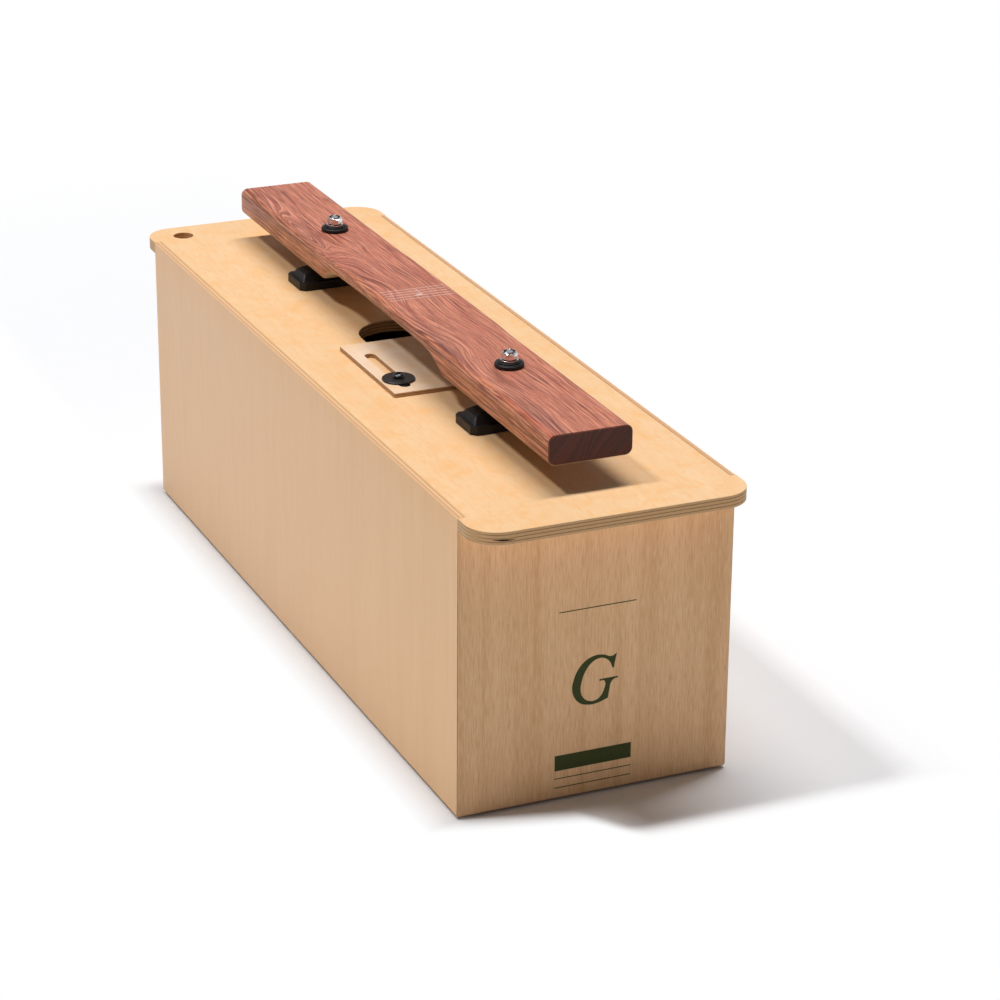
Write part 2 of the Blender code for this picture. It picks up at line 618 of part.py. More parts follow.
def make_lock_nut(name, direction):
    """Self-locking nut: a chamfered hexagon whose thin collar is rolled in over the locking ring."""
    corner = HEX_ACROSS_FLATS / math.sqrt(3)
    flat = HEX_ACROSS_FLATS / 2
    chamfer = (corner - flat) * NUT_CHAMFER_SHARE
    place = (direction * BOLT_SPACING / 2, 0.0, NUT_BOTTOM)
    hexagon = regular_outline(corner, 6, NUT_TURN_DEGREES)
    nut = add_object(name, prism(hexagon, 0.0, NUT_HEX_HEIGHT), place, ZINC)
    envelope = [
        (0.0, 0.0), (flat, 0.0), (corner, chamfer), (corner, NUT_HEX_HEIGHT - chamfer),
        (flat, NUT_HEX_HEIGHT), (0.0, NUT_HEX_HEIGHT),
    ]
    shape(nut, "chamfers", turned(envelope, ROUND_STEPS), "INTERSECT", place)
    rolled = NUT_HEIGHT - NUT_COLLAR_WALL
    collar = [
        (0.0, NUT_HEX_HEIGHT / 2), (NUT_COLLAR_RADIUS, NUT_HEX_HEIGHT / 2), (NUT_COLLAR_RADIUS, rolled),
        (NUT_COLLAR_RADIUS - NUT_COLLAR_WALL, NUT_HEIGHT), (0.0, NUT_HEIGHT),
    ]
    join(nut, "collar", turned(collar, ROUND_STEPS), place)
    recess_radius = LOCK_RING_RADIUS + SEAT
    recess_floor = LOCK_RING_TOP - LOCK_RING_THICKNESS - SEAT
    recess = [
        (0.0, recess_floor), (recess_radius, recess_floor), (recess_radius, rolled),
        (recess_radius - NUT_LIP_WIDTH, rolled), (recess_radius - NUT_LIP_WIDTH, 2 * NUT_HEIGHT),
        (0.0, 2 * NUT_HEIGHT),
    ]
    cut(nut, "recess", turned(recess, ROUND_STEPS), place)
    bore = regular_outline(BOLT_HOLE_RADIUS, SMALL_STEPS)
    cut(nut, "bore", prism(bore, -NUT_HEX_HEIGHT, 2 * NUT_HEIGHT), place)
    smooth(nut)
    return nut


def make_lock_ring(name, direction):
    """Dark plastic ring in the nut's collar, which grips the bolt."""
    inner = BOLT_RADIUS + SEAT
    low = LOCK_RING_TOP - LOCK_RING_THICKNESS
    profile = ring_profile(inner, LOCK_RING_RADIUS, low, LOCK_RING_TOP, LOCK_RING_THICKNESS / 6)
    place = (direction * BOLT_SPACING / 2, 0.0, NUT_BOTTOM)
    ring = add_object(name, turned(profile, ROUND_STEPS), place, BLACK_PLASTIC)
    smooth(ring)
    return ring


def make_tuning_plate():
    """Thin plywood plate that slides along the box over the sound hole."""
    centre_x = TUNING_REAR_X + TUNING_LENGTH / 2
    outline = rounded_rectangle(TUNING_LENGTH, TUNING_WIDTH, TUNING_CORNER_RADIUS, 3)
    place = (centre_x, 0.0, TUNING_BOTTOM)
    plate = add_object("tuning_plate", prism(outline, 0.0, TUNING_THICKNESS), place, PALE_PLY)
    slot = prism(stadium(SLOT_LENGTH, SLOT_WIDTH), -TUNING_THICKNESS, 2 * TUNING_THICKNESS)
    cut(plate, "slot", slot, (SLOT_REAR_X + SLOT_LENGTH / 2, CLAMP_Y, TUNING_BOTTOM))
    ease_edges(plate, TUNING_THICKNESS / 12)
    smooth(plate)
    return plate


def make_clamp_guide():
    """Oblong block in the tuning plate's slot, which keeps the plate straight."""
    outline = stadium(GUIDE_LENGTH, SLOT_WIDTH - 2 * GUIDE_SIDE_CLEARANCE, SMALL_STEPS // 2)
    place = (CLAMP_X, CLAMP_Y, TUNING_BOTTOM)
    guide = add_object("clamp_guide", prism(outline, 0.0, TUNING_THICKNESS), place, BLACK_PLASTIC)
    bore = regular_outline(CLAMP_HOLE_RADIUS, SMALL_STEPS)
    cut(guide, "bore", prism(bore, -TUNING_THICKNESS, 2 * TUNING_THICKNESS), place)
    smooth(guide)
    return guide


def make_clamp_disc():
    """Wide black washer that presses on the tuning plate."""
    profile = ring_profile(CLAMP_HOLE_RADIUS, CLAMP_RADIUS, 0.0, CLAMP_THICKNESS, CLAMP_THICKNESS / 3)
    place = (CLAMP_X, CLAMP_Y, CLAMP_DISC_BOTTOM)
    disc = add_object("clamp_disc", turned(profile, FINE_STEPS), place, BLACK_PLASTIC)
    smooth(disc)
    return disc


def make_clamp_screw():
    """Button-head screw with a hexagon socket, down into the insert."""
    tip = PLATE_BOTTOM - SEAT - INSERT_FLANGE_THICKNESS - CLAMP_HEAD_BOTTOM
    rim = CLAMP_HEAD_HEIGHT * CLAMP_HEAD_RIM_SHARE
    rise = CLAMP_HEAD_HEIGHT - rim
    quarter = arc((0.0, 0.0), 1.0, 0, CLAMP_DOME_DEGREES, ARC_STEPS // 2)
    dome = [(CLAMP_HEAD_RADIUS * across, rim + rise * up) for across, up in quarter]
    crown = dome[-1][1]
    profile = [(0.0, tip), (CLAMP_SCREW_RADIUS * CLAMP_TIP_SHARE, tip), (CLAMP_SCREW_RADIUS, tip + SEAT)]
    profile += [(CLAMP_SCREW_RADIUS, 0.0), (CLAMP_HEAD_RADIUS, 0.0)]
    profile += dome + [(0.0, crown)]
    place = (CLAMP_X, CLAMP_Y, CLAMP_HEAD_BOTTOM)
    screw = add_object("clamp_screw", turned(profile, ROUND_STEPS), place, BLACK_STEEL)
    socket = regular_outline(CLAMP_SOCKET_RADIUS, 6)
    cut(screw, "socket", prism(socket, crown - CLAMP_SOCKET_DEPTH, 2 * CLAMP_HEAD_HEIGHT), place)
    smooth(screw)
    return screw


def make_clamp_insert():
    """Flanged insert pressed into the plate from inside the box, for the clamp screw."""
    flange_top = INSERT_FLANGE_THICKNESS
    top = flange_top + SEAT + INSERT_BARREL_LENGTH
    profile = [
        (CLAMP_HOLE_RADIUS, 0.0), (INSERT_FLANGE_RADIUS, 0.0), (INSERT_FLANGE_RADIUS, flange_top),
        (INSERT_BARREL_RADIUS, flange_top), (INSERT_BARREL_RADIUS, top), (CLAMP_HOLE_RADIUS, top),
    ]
    place = (CLAMP_X, CLAMP_Y, PLATE_BOTTOM - SEAT - flange_top)
    insert = add_object("clamp_insert", turned(profile, ROUND_STEPS), place, ZINC)
    smooth(insert)
    return insert


def make_box():
    """The resonator: walls, bottom, glue blocks, battens, feet and top plate."""
    batten_low = WALL_TOP - BATTEN_SIZE
    for side_name, side in (("left", -1), ("right", 1)):
        make_side_panel(f"side_panel_{side_name}", side)
        make_batten(f"top_batten_{side_name}", side, batten_low, upper=True)
        make_batten(f"bottom_batten_{side_name}", side, BOTTOM_TOP + SEAT, upper=False)
    for end_name, direction in (("front", 1), ("rear", -1)):
        make_end_panel(f"end_panel_{end_name}", direction)
        for side_name, side in (("left", -1), ("right", 1)):
            make_corner_block(f"corner_block_{end_name}_{side_name}", direction, side)
            make_foot(f"foot_{end_name}_{side_name}", direction, side)
    make_bottom_panel()
    make_top_plate()


def make_bar_mounting(end_name, direction):
    """Everything that carries one end of the bar, from the rest to the nut."""
    x = direction * BOLT_SPACING / 2
    make_bar_rest(f"bar_rest_{end_name}", direction)
    make_bolt(f"bar_bolt_{end_name}", direction)
    under = (x, 0.0, UNDER_WASHER_BOTTOM)
    make_washer(f"under_washer_{end_name}", under, UNDER_WASHER_RADIUS, UNDER_WASHER_THICKNESS, ZINC)
    make_bush(f"bar_bush_{end_name}", direction)
    above = (x, 0.0, NUT_WASHER_BOTTOM)
    make_washer(f"nut_washer_{end_name}", above, NUT_WASHER_RADIUS, NUT_WASHER_THICKNESS, ZINC)
    make_lock_nut(f"lock_nut_{end_name}", direction)
    make_lock_ring(f"lock_ring_{end_name}", direction)


def main():
    """Build the contrabass bar."""
    clear_scene()
    make_box()
    make_tone_bar()
    make_bar_mounting("front", 1)
    make_bar_mounting("rear", -1)
    make_tuning_plate()
    make_clamp_guide()
    make_clamp_disc()
    make_clamp_screw()
    make_clamp_insert()


main()
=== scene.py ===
"""Looks of a contrabass bar: finishes, marks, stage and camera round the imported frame."""

import math

import bmesh
import bpy
from mathutils import Matrix, Vector


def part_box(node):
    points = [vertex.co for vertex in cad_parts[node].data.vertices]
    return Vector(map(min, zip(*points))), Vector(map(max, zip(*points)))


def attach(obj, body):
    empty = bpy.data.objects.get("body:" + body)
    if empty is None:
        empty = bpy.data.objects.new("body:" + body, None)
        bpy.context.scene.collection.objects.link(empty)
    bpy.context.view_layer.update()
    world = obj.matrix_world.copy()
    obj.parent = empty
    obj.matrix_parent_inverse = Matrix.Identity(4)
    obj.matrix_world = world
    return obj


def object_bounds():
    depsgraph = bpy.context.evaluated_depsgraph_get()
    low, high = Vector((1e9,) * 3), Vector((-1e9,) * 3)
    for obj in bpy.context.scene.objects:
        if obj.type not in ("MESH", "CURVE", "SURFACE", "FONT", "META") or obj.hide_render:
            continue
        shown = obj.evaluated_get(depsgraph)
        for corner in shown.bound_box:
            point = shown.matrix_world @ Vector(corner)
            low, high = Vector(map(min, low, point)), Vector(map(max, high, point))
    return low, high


bl_info = {
    "name": "Contrabass Bar Looks",
    "version": (1, 1, 0),
    "blender": (4, 5, 0),
    "location": "View3D > Sidebar > Contrabass Bar",
    "description": "Finishes, marks, stage and camera of a contrabass bar",
    "category": "Object",
}

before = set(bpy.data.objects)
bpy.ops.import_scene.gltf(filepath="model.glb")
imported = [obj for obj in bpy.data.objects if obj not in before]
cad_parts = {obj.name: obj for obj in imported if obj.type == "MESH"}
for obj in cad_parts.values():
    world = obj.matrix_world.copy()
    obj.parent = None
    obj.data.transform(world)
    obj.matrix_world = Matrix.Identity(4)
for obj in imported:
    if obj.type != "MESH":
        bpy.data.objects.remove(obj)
CAD_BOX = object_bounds()

# Gap between a printed mark and the surface that carries it, and the ink's thickness
MARK_LIFT = 0.00006
MARK_THICKNESS = 0.00005

# Slant of the tone bar's growth lines on its end, in degrees from upright
RING_SLANT = 42.0

# CAD nodes of each finish
FINISHES = {
    "side_veneer": ("side_panel_left", "side_panel_right"),
    "end_veneer": ("end_panel_front", "end_panel_rear"),
    "top_plywood": ("top_plate",),
    "tuning_plywood": ("tuning_plate",),
    "bottom_plywood": ("bottom_panel",),
    "softwood": (
        "top_batten_left", "top_batten_right", "bottom_batten_left", "bottom_batten_right",
        "corner_block_front_left", "corner_block_front_right",
        "corner_block_rear_left", "corner_block_rear_right",
    ),
    "rosewood": ("tone_bar",),
    "black_rubber": ("bar_rest_front", "bar_rest_rear", "bar_bush_front", "bar_bush_rear"),
    "black_plastic": ("clamp_disc", "clamp_guide", "lock_ring_front", "lock_ring_rear"),
    "black_steel": ("clamp_screw",),
    "zinc_steel": (
        "lock_nut_front", "lock_nut_rear", "nut_washer_front", "nut_washer_rear",
        "bar_bolt_front", "bar_bolt_rear", "under_washer_front", "under_washer_rear",
        "clamp_insert",
    ),
    "grey_felt": (
        "foot_front_left", "foot_front_right", "foot_rear_left", "foot_rear_right",
    ),
}

# Pitch letter, in shares of its height: x, y and whether the outline turns sharply there
LETTER_POINTS = (
    (0.44, 0.48, True), (0.34, 0.43, False), (0.16, 0.49, False), (-0.01, 0.50, False),
    (-0.20, 0.43, False), (-0.37, 0.25, False), (-0.45, 0.06, False), (-0.48, -0.11, False),
    (-0.43, -0.30, False), (-0.31, -0.44, False), (-0.15, -0.50, False), (0.04, -0.50, False),
    (0.27, -0.43, True), (0.30, -0.25, False), (0.33, -0.12, False), (0.40, -0.05, False),
    (0.48, -0.04, True), (0.47, -0.01, True), (0.09, -0.01, True), (0.09, -0.05, True),
    (0.18, -0.05, False), (0.21, -0.10, False), (0.19, -0.23, False), (0.13, -0.35, False),
    (0.02, -0.43, False), (-0.11, -0.43, False), (-0.24, -0.34, False), (-0.30, -0.19, False),
    (-0.28, 0.01, False), (-0.20, 0.22, False), (-0.07, 0.37, False), (0.08, 0.43, False),
    (0.21, 0.40, False), (0.31, 0.30, False), (0.35, 0.19, True), (0.38, 0.18, True),
)


class WoodSettings(bpy.types.PropertyGroup):
    """Colours of the woods."""

    side_colour: bpy.props.FloatVectorProperty(
        name="Side veneer", description="Colour of the pale side panels",
        subtype="COLOR", size=3, min=0.0, max=1.0, default=(0.96, 0.645, 0.395))
    end_colour: bpy.props.FloatVectorProperty(
        name="End veneer", description="Colour of the end panels",
        subtype="COLOR", size=3, min=0.0, max=1.0, default=(0.96, 0.592, 0.320))
    top_colour: bpy.props.FloatVectorProperty(
        name="Top plywood", description="Colour of the lacquered top plate",
        subtype="COLOR", size=3, min=0.0, max=1.0, default=(0.93, 0.625, 0.360))
    tuning_colour: bpy.props.FloatVectorProperty(
        name="Tuning plate", description="Colour of the thin tuning plate",
        subtype="COLOR", size=3, min=0.0, max=1.0, default=(0.91, 0.705, 0.535))
    core_colour: bpy.props.FloatVectorProperty(
        name="Tuning plate core", description="Colour of the tuning plate's plies and of the bottom",
        subtype="COLOR", size=3, min=0.0, max=1.0, default=(0.74, 0.51, 0.33))
    rosewood_colour: bpy.props.FloatVectorProperty(
        name="Rosewood", description="Main colour of the tone bar",
        subtype="COLOR", size=3, min=0.0, max=1.0, default=(0.62, 0.206, 0.125))
    rosewood_edge_colour: bpy.props.FloatVectorProperty(
        name="Rosewood edge", description="Orange colour along the tone bar's left edge",
        subtype="COLOR", size=3, min=0.0, max=1.0, default=(0.49, 0.186, 0.079))
    rosewood_line_colour: bpy.props.FloatVectorProperty(
        name="Rosewood lines", description="Colour of the dark figure of the tone bar",
        subtype="COLOR", size=3, min=0.0, max=1.0, default=(0.20, 0.055, 0.042))
    rosewood_zone_colour: bpy.props.FloatVectorProperty(
        name="Rosewood zone", description="Purple-brown colour left of the bar's middle",
        subtype="COLOR", size=3, min=0.0, max=1.0, default=(0.24, 0.085, 0.066))


class HardwareSettings(bpy.types.PropertyGroup):
    """Colours of rubber, plastic and metal."""

    rubber_colour: bpy.props.FloatVectorProperty(
        name="Rubber", description="Colour of the bar rests and bushes",
        subtype="COLOR", size=3, min=0.0, max=1.0, default=(0.0050, 0.0044, 0.0048))
    plastic_colour: bpy.props.FloatVectorProperty(
        name="Plastic", description="Colour of the clamp disc and its guide",
        subtype="COLOR", size=3, min=0.0, max=1.0, default=(0.018, 0.018, 0.019))
    zinc_colour: bpy.props.FloatVectorProperty(
        name="Zinc", description="Colour of the plated nuts and washers",
        subtype="COLOR", size=3, min=0.0, max=1.0, default=(0.80, 0.82, 0.84))


class MarkSettings(bpy.types.PropertyGroup):
    """Sizes and colours of the printed and engraved marks."""

    print_colour: bpy.props.FloatVectorProperty(
        name="Print", description="Colour of the green print on the front",
        subtype="COLOR", size=3, min=0.0, max=1.0, default=(0.050, 0.062, 0.016))
    engraving_colour: bpy.props.FloatVectorProperty(
        name="Engraving", description="Colour of the pale lines on the bar",
        subtype="COLOR", size=3, min=0.0, max=1.0, default=(0.86, 0.62, 0.56))
    letter_height: bpy.props.FloatProperty(
        name="Letter height", description="Height of the pitch letter",
        unit="LENGTH", subtype="DISTANCE", default=0.0350)
    letter_middle: bpy.props.FloatProperty(
        name="Letter middle", description="Height of the letter's middle above the floor",
        unit="LENGTH", subtype="DISTANCE", default=0.0842)
    staff_width: bpy.props.FloatProperty(
        name="Staff width", description="Length of the staff lines across the bar",
        unit="LENGTH", subtype="DISTANCE", default=0.0500)
    staff_spacing: bpy.props.FloatProperty(
        name="Staff spacing", description="Distance between two staff lines",
        unit="LENGTH", subtype="DISTANCE", default=0.0052)
    staff_middle: bpy.props.FloatProperty(
        name="Staff middle", description="How far the staff's middle line stands before the bar's middle",
        unit="LENGTH", subtype="DISTANCE", default=-0.0020)


class StageSettings(bpy.types.PropertyGroup):
    """Camera and light."""

    lens: bpy.props.FloatProperty(
        name="Lens", description="Focal length of the camera",
        unit="CAMERA", default=114.72)
    camera_place: bpy.props.FloatVectorProperty(
        name="Camera place", description="Where the camera stands",
        subtype="TRANSLATION", unit="LENGTH", size=3, default=(2.0272, -0.8245, 0.9877))
    azimuth: bpy.props.FloatProperty(
        name="Azimuth", description="Turn of the camera round the box",
        subtype="ANGLE", unit="ROTATION", default=math.radians(66.26))
    elevation: bpy.props.FloatProperty(
        name="Elevation", description="Angle at which the camera looks down",
        subtype="ANGLE", unit="ROTATION", default=math.radians(22.19))
    roll: bpy.props.FloatProperty(
        name="Roll", description="Turn of the camera about its own line of sight",
        subtype="ANGLE", unit="ROTATION", default=math.radians(0.47))
    strip_power: bpy.props.FloatProperty(
        name="Strip light", description="Power of the long soft lamp overhead",
        unit="POWER", default=480.0)
    side_power: bpy.props.FloatProperty(
        name="Side light", description="Power of the smaller lamp above the left side",
        unit="POWER", default=195.0)
    ambient: bpy.props.FloatProperty(
        name="Ambient", description="Strength of the even light from all round",
        min=0.0, default=0.10)


# Shader helpers


def new_material(name, roughness=0.5, metallic=0.0):
    """A material with a Principled shader, its tree, and the shader."""
    material = bpy.data.materials.new(name)
    material.use_nodes = True
    shader = material.node_tree.nodes["Principled BSDF"]
    shader.inputs["Roughness"].default_value = roughness
    shader.inputs["Metallic"].default_value = metallic
    return material, material.node_tree, shader


def link(tree, source, target):
    """Connect two sockets."""
    tree.links.new(source, target)


def feed(tree, value, socket):
    """Give a socket a link, a colour or a number."""
    if isinstance(value, bpy.types.NodeSocket):
        link(tree, value, socket)
    elif socket.type == "RGBA":
        socket.default_value = (*value[:3], 1.0)
    else:
        socket.default_value = value


def new_group(name, inputs, outputs):
    """A shader node group with named sockets, its input node's sockets and its output node's."""
    group = bpy.data.node_groups.new(name, "ShaderNodeTree")
    for label, kind, default in inputs:
        socket = group.interface.new_socket(label, in_out="INPUT", socket_type=f"NodeSocket{kind}")
        socket.default_value = default
    for label, kind in outputs:
        group.interface.new_socket(label, in_out="OUTPUT", socket_type=f"NodeSocket{kind}")
    source = group.nodes.new("NodeGroupInput")
    result = group.nodes.new("NodeGroupOutput")
    return group, source.outputs, result.inputs


def use_group(tree, group, values):
    """Place a node group in a tree with its own values, and return its outputs."""
    node = tree.nodes.new("ShaderNodeGroup")
    node.node_tree = group
    for name, value in values.items():
        feed(tree, value, node.inputs[name])
    return node.outputs


def object_place(tree):
    """Object coordinates, which are metres in the part's own frame."""
    return tree.nodes.new("ShaderNodeTexCoord").outputs["Object"]


def stretched(tree, vector, scale, turn_degrees=(0.0, 0.0, 0.0)):
    """A vector turned, then multiplied along each axis, so that grain can run along one of them."""
    mapping = tree.nodes.new("ShaderNodeMapping")
    mapping.vector_type = "POINT"
    mapping.inputs["Scale"].default_value = scale
    mapping.inputs["Rotation"].default_value = [math.radians(angle) for angle in turn_degrees]
    link(tree, vector, mapping.inputs["Vector"])
    return mapping.outputs["Vector"]


def parts_of(tree, vector):
    """The three numbers of a vector."""
    node = tree.nodes.new("ShaderNodeSeparateXYZ")
    link(tree, vector, node.inputs["Vector"])
    return node.outputs


def mixed(tree, first, second, factor, blend="MIX"):
    """The colour that a Mix node makes of two colours."""
    mix = tree.nodes.new("ShaderNodeMix")
    mix.data_type = "RGBA"
    mix.blend_type = blend
    feed(tree, factor, mix.inputs["Factor"])
    first_socket = next(socket for socket in mix.inputs if socket.identifier == "A_Color")
    second_socket = next(socket for socket in mix.inputs if socket.identifier == "B_Color")
    feed(tree, first, first_socket)
    feed(tree, second, second_socket)
    return next(socket for socket in mix.outputs if socket.identifier == "Result_Color")


def calculated(tree, operation, first, second=0.0, third=0.0):
    """The value that a Math node works out."""
    node = tree.nodes.new("ShaderNodeMath")
    node.operation = operation
    for value, socket in zip((first, second, third), node.inputs):
        feed(tree, value, socket)
    return node.outputs["Value"]


def ranged(tree, value, from_low, from_high, to_low=0.0, to_high=1.0):
    """A value carried from one range to another, and held there."""
    node = tree.nodes.new("ShaderNodeMapRange")
    for name, number in (("Value", value), ("From Min", from_low), ("From Max", from_high),
                         ("To Min", to_low), ("To Max", to_high)):
        feed(tree, number, node.inputs[name])
    return node.outputs["Result"]


def eased(tree, value, from_low, from_high, to_low=0.0, to_high=1.0):
    """A value carried from one range to another as ranged does, but with soft ends."""
    result = ranged(tree, value, from_low, from_high, to_low, to_high)
    result.node.interpolation_type = "SMOOTHSTEP"
    return result


def noise(tree, vector, scale, detail=3.0, roughness=0.5, distortion=0.0, output="Fac"):
    """A noise texture's value or colour."""
    node = tree.nodes.new("ShaderNodeTexNoise")
    for name, number in (("Vector", vector), ("Scale", scale), ("Detail", detail),
                         ("Roughness", roughness), ("Distortion", distortion)):
        feed(tree, number, node.inputs[name])
    return node.outputs[output]


def bumped(tree, shader, height, strength, distance):
    """Feed a height to the shader's normal."""
    bump = tree.nodes.new("ShaderNodeBump")
    bump.inputs["Strength"].default_value = strength
    bump.inputs["Distance"].default_value = distance
    link(tree, height, bump.inputs["Height"])
    link(tree, bump.outputs["Normal"], shader.inputs["Normal"])


def scaled(colour, share):
    """A colour multiplied by a number, or by one for each channel."""
    shares = share if isinstance(share, tuple) else (share,) * 3
    return tuple(min(1.0, channel * factor) for channel, factor in zip(colour, shares))


# Effects shared by several finishes


def grain_group():
    """Straight wood grain on a stretched vector: broad shades, fine threads and short dark pores."""
    group, given, result = new_group(
        "Wood Grain",
        [("Vector", "Vector", (0.0, 0.0, 0.0)), ("Colour", "Color", (0.6, 0.4, 0.2, 1.0)),
         ("Deep Colour", "Color", (0.4, 0.25, 0.12, 1.0)), ("Broad", "Float", 0.3),
         ("Threads", "Float", 0.3), ("Pores", "Float", 0.3)],
        [("Colour", "Color"), ("Height", "Float")])
    broad = ranged(group, noise(group, given["Vector"], 0.5, 3.0, 0.5, 0.5), 0.36, 0.68)
    threads = ranged(group, noise(group, given["Vector"], 3.0, 5.0, 0.7, 0.3), 0.40, 0.66)
    pores = ranged(group, noise(group, given["Vector"], 12.0, 2.0, 0.6), 0.56, 0.70)
    broad_share = calculated(group, "MULTIPLY", broad, given["Broad"])
    thread_share = calculated(group, "MULTIPLY", threads, given["Threads"])
    pore_share = calculated(group, "MULTIPLY", pores, given["Pores"])
    shaded = mixed(group, given["Colour"], given["Deep Colour"], broad_share)
    threaded = mixed(group, shaded, given["Deep Colour"], thread_share)
    link(group, mixed(group, threaded, given["Deep Colour"], pore_share), result["Colour"])
    link(group, calculated(group, "SUBTRACT", threads, pore_share), result["Height"])
    return group


def ply_group():
    """Plies of a cut edge by depth: thick and thin layers that swap tone from end grain to long grain."""
    group, given, result = new_group(
        "Plywood Edge",
        [("Face Colour", "Color", (0.8, 0.6, 0.3, 1.0)), ("Depth", "Float", 0.0),
         ("Thick Plies", "Float", 4.0), ("Edge", "Float", 1.0), ("End Grain", "Float", 1.0),
         ("Pale Ply", "Color", (0.80, 0.56, 0.32, 1.0)), ("Brown Ply", "Color", (0.52, 0.31, 0.15, 1.0)),
         ("Glue Line", "Color", (0.24, 0.125, 0.055, 1.0))],
        [("Colour", "Color"), ("Thin Ply", "Float")])
    thin_share = 0.27
    waver = noise(group, stretched(group, object_place(group), (30.0, 30.0, 8.0)), 1.0, 2.0)
    depth = calculated(group, "ADD", given["Depth"], calculated(
        group, "MULTIPLY", calculated(group, "SUBTRACT", waver, 0.5), 0.035))
    periods = calculated(group, "SUBTRACT", given["Thick Plies"], thin_share)
    phase = calculated(group, "FRACT", calculated(group, "MULTIPLY", depth, periods))
    rise = ranged(group, phase, 1.0 - thin_share - 0.05, 1.0 - thin_share + 0.05)
    fall = ranged(group, phase, 0.94, 1.0, 1.0, 0.0)
    thin = calculated(group, "MULTIPLY", rise, fall)
    specks = noise(group, stretched(group, object_place(group), (300.0, 300.0, 900.0)), 1.0, 3.0, 0.7)
    browner = ranged(group, specks, 0.35, 0.75, 0.10, 0.60)
    paler = ranged(group, specks, 0.40, 0.80, 0.0, 0.25)
    thick_end = mixed(group, given["Pale Ply"], given["Brown Ply"], browner)
    thick_long = mixed(group, given["Brown Ply"], given["Pale Ply"], paler)
    thick = mixed(group, thick_long, thick_end, given["End Grain"])
    thin_colour = mixed(group, given["Pale Ply"], given["Glue Line"], given["End Grain"])
    layered = mixed(group, thick, thin_colour, thin)
    link(group, mixed(group, given["Face Colour"], layered, given["Edge"]), result["Colour"])
    link(group, thin, result["Thin Ply"])
    return group


def worn_edge_highlight_group():
    """A mask of the outer edges, broken up as if by handling; finishes lighten their colour there, partly as
    rubbing and partly as painted highlight along the edges.
    """
    group, given, result = new_group(
        "Worn Edges And Painted Highlight", [("Radius", "Float", 0.001), ("Amount", "Float", 0.5)], [("Mask", "Float")])
    bevel = group.nodes.new("ShaderNodeBevel")
    bevel.samples = 4
    link(group, given["Radius"], bevel.inputs["Radius"])
    geometry = group.nodes.new("ShaderNodeNewGeometry")
    turn = group.nodes.new("ShaderNodeVectorMath")
    turn.operation = "DOT_PRODUCT"
    link(group, bevel.outputs["Normal"], turn.inputs[0])
    link(group, geometry.outputs["Normal"], turn.inputs[1])
    edge = ranged(group, turn.outputs["Value"], 0.995, 0.86)
    patches = ranged(group, noise(group, object_place(group), 90.0, 4.0, 0.6), 0.35, 0.65, 0.35, 1.0)
    mask = calculated(group, "MULTIPLY", edge, patches)
    link(group, calculated(group, "MULTIPLY", mask, given["Amount"]), result["Mask"])
    return group


def handling_group():
    """Soft uneven shade that breaks up a plain moulded, plated or printed surface."""
    group, given, result = new_group(
        "Handling Marks", [("Scale", "Float", 60.0), ("Amount", "Float", 0.3)],
        [("Mask", "Float"), ("Height", "Float")])
    texture = noise(group, object_place(group), given["Scale"], 5.0)
    mask = ranged(group, texture, 0.42, 0.68)
    link(group, calculated(group, "MULTIPLY", mask, given["Amount"]), result["Mask"])
    link(group, texture, result["Height"])
    return group


def shared_groups():
    """Every shared effect, made once however many operators ask for it."""
    makers = {
        "grain": ("Wood Grain", grain_group), "ply": ("Plywood Edge", ply_group),
        "edge_wear_and_highlight": ("Worn Edges And Painted Highlight", worn_edge_highlight_group), "handling": ("Handling Marks", handling_group),
    }
    return {key: bpy.data.node_groups.get(name) or make() for key, (name, make) in makers.items()}


# Finishes of wood


def face_mask(tree, axis, low=0.80, high=0.95):
    """How far a surface faces along one axis, from 0 to 1."""
    geometry = tree.nodes.new("ShaderNodeNewGeometry")
    facing = calculated(tree, "ABSOLUTE", parts_of(tree, geometry.outputs["Normal"])[axis])
    return ranged(tree, facing, low, high)


def grained(tree, groups, colour, deep, stretch, strengths):
    """Outputs of the grain group for a colour, a deeper colour and the strengths of its three scales."""
    broad, threads, pores = strengths
    return use_group(tree, groups["grain"], {
        "Vector": stretched(tree, object_place(tree), stretch), "Colour": colour,
        "Deep Colour": deep, "Broad": broad, "Threads": threads, "Pores": pores,
    })


def lacquer(tree, shader, height, smooth, rough):
    """Roughness of a lacquered wood that follows its grain."""
    link(tree, ranged(tree, height, 0.0, 1.0, smooth, rough), shader.inputs["Roughness"])
    shader.inputs["Specular IOR Level"].default_value = 0.12


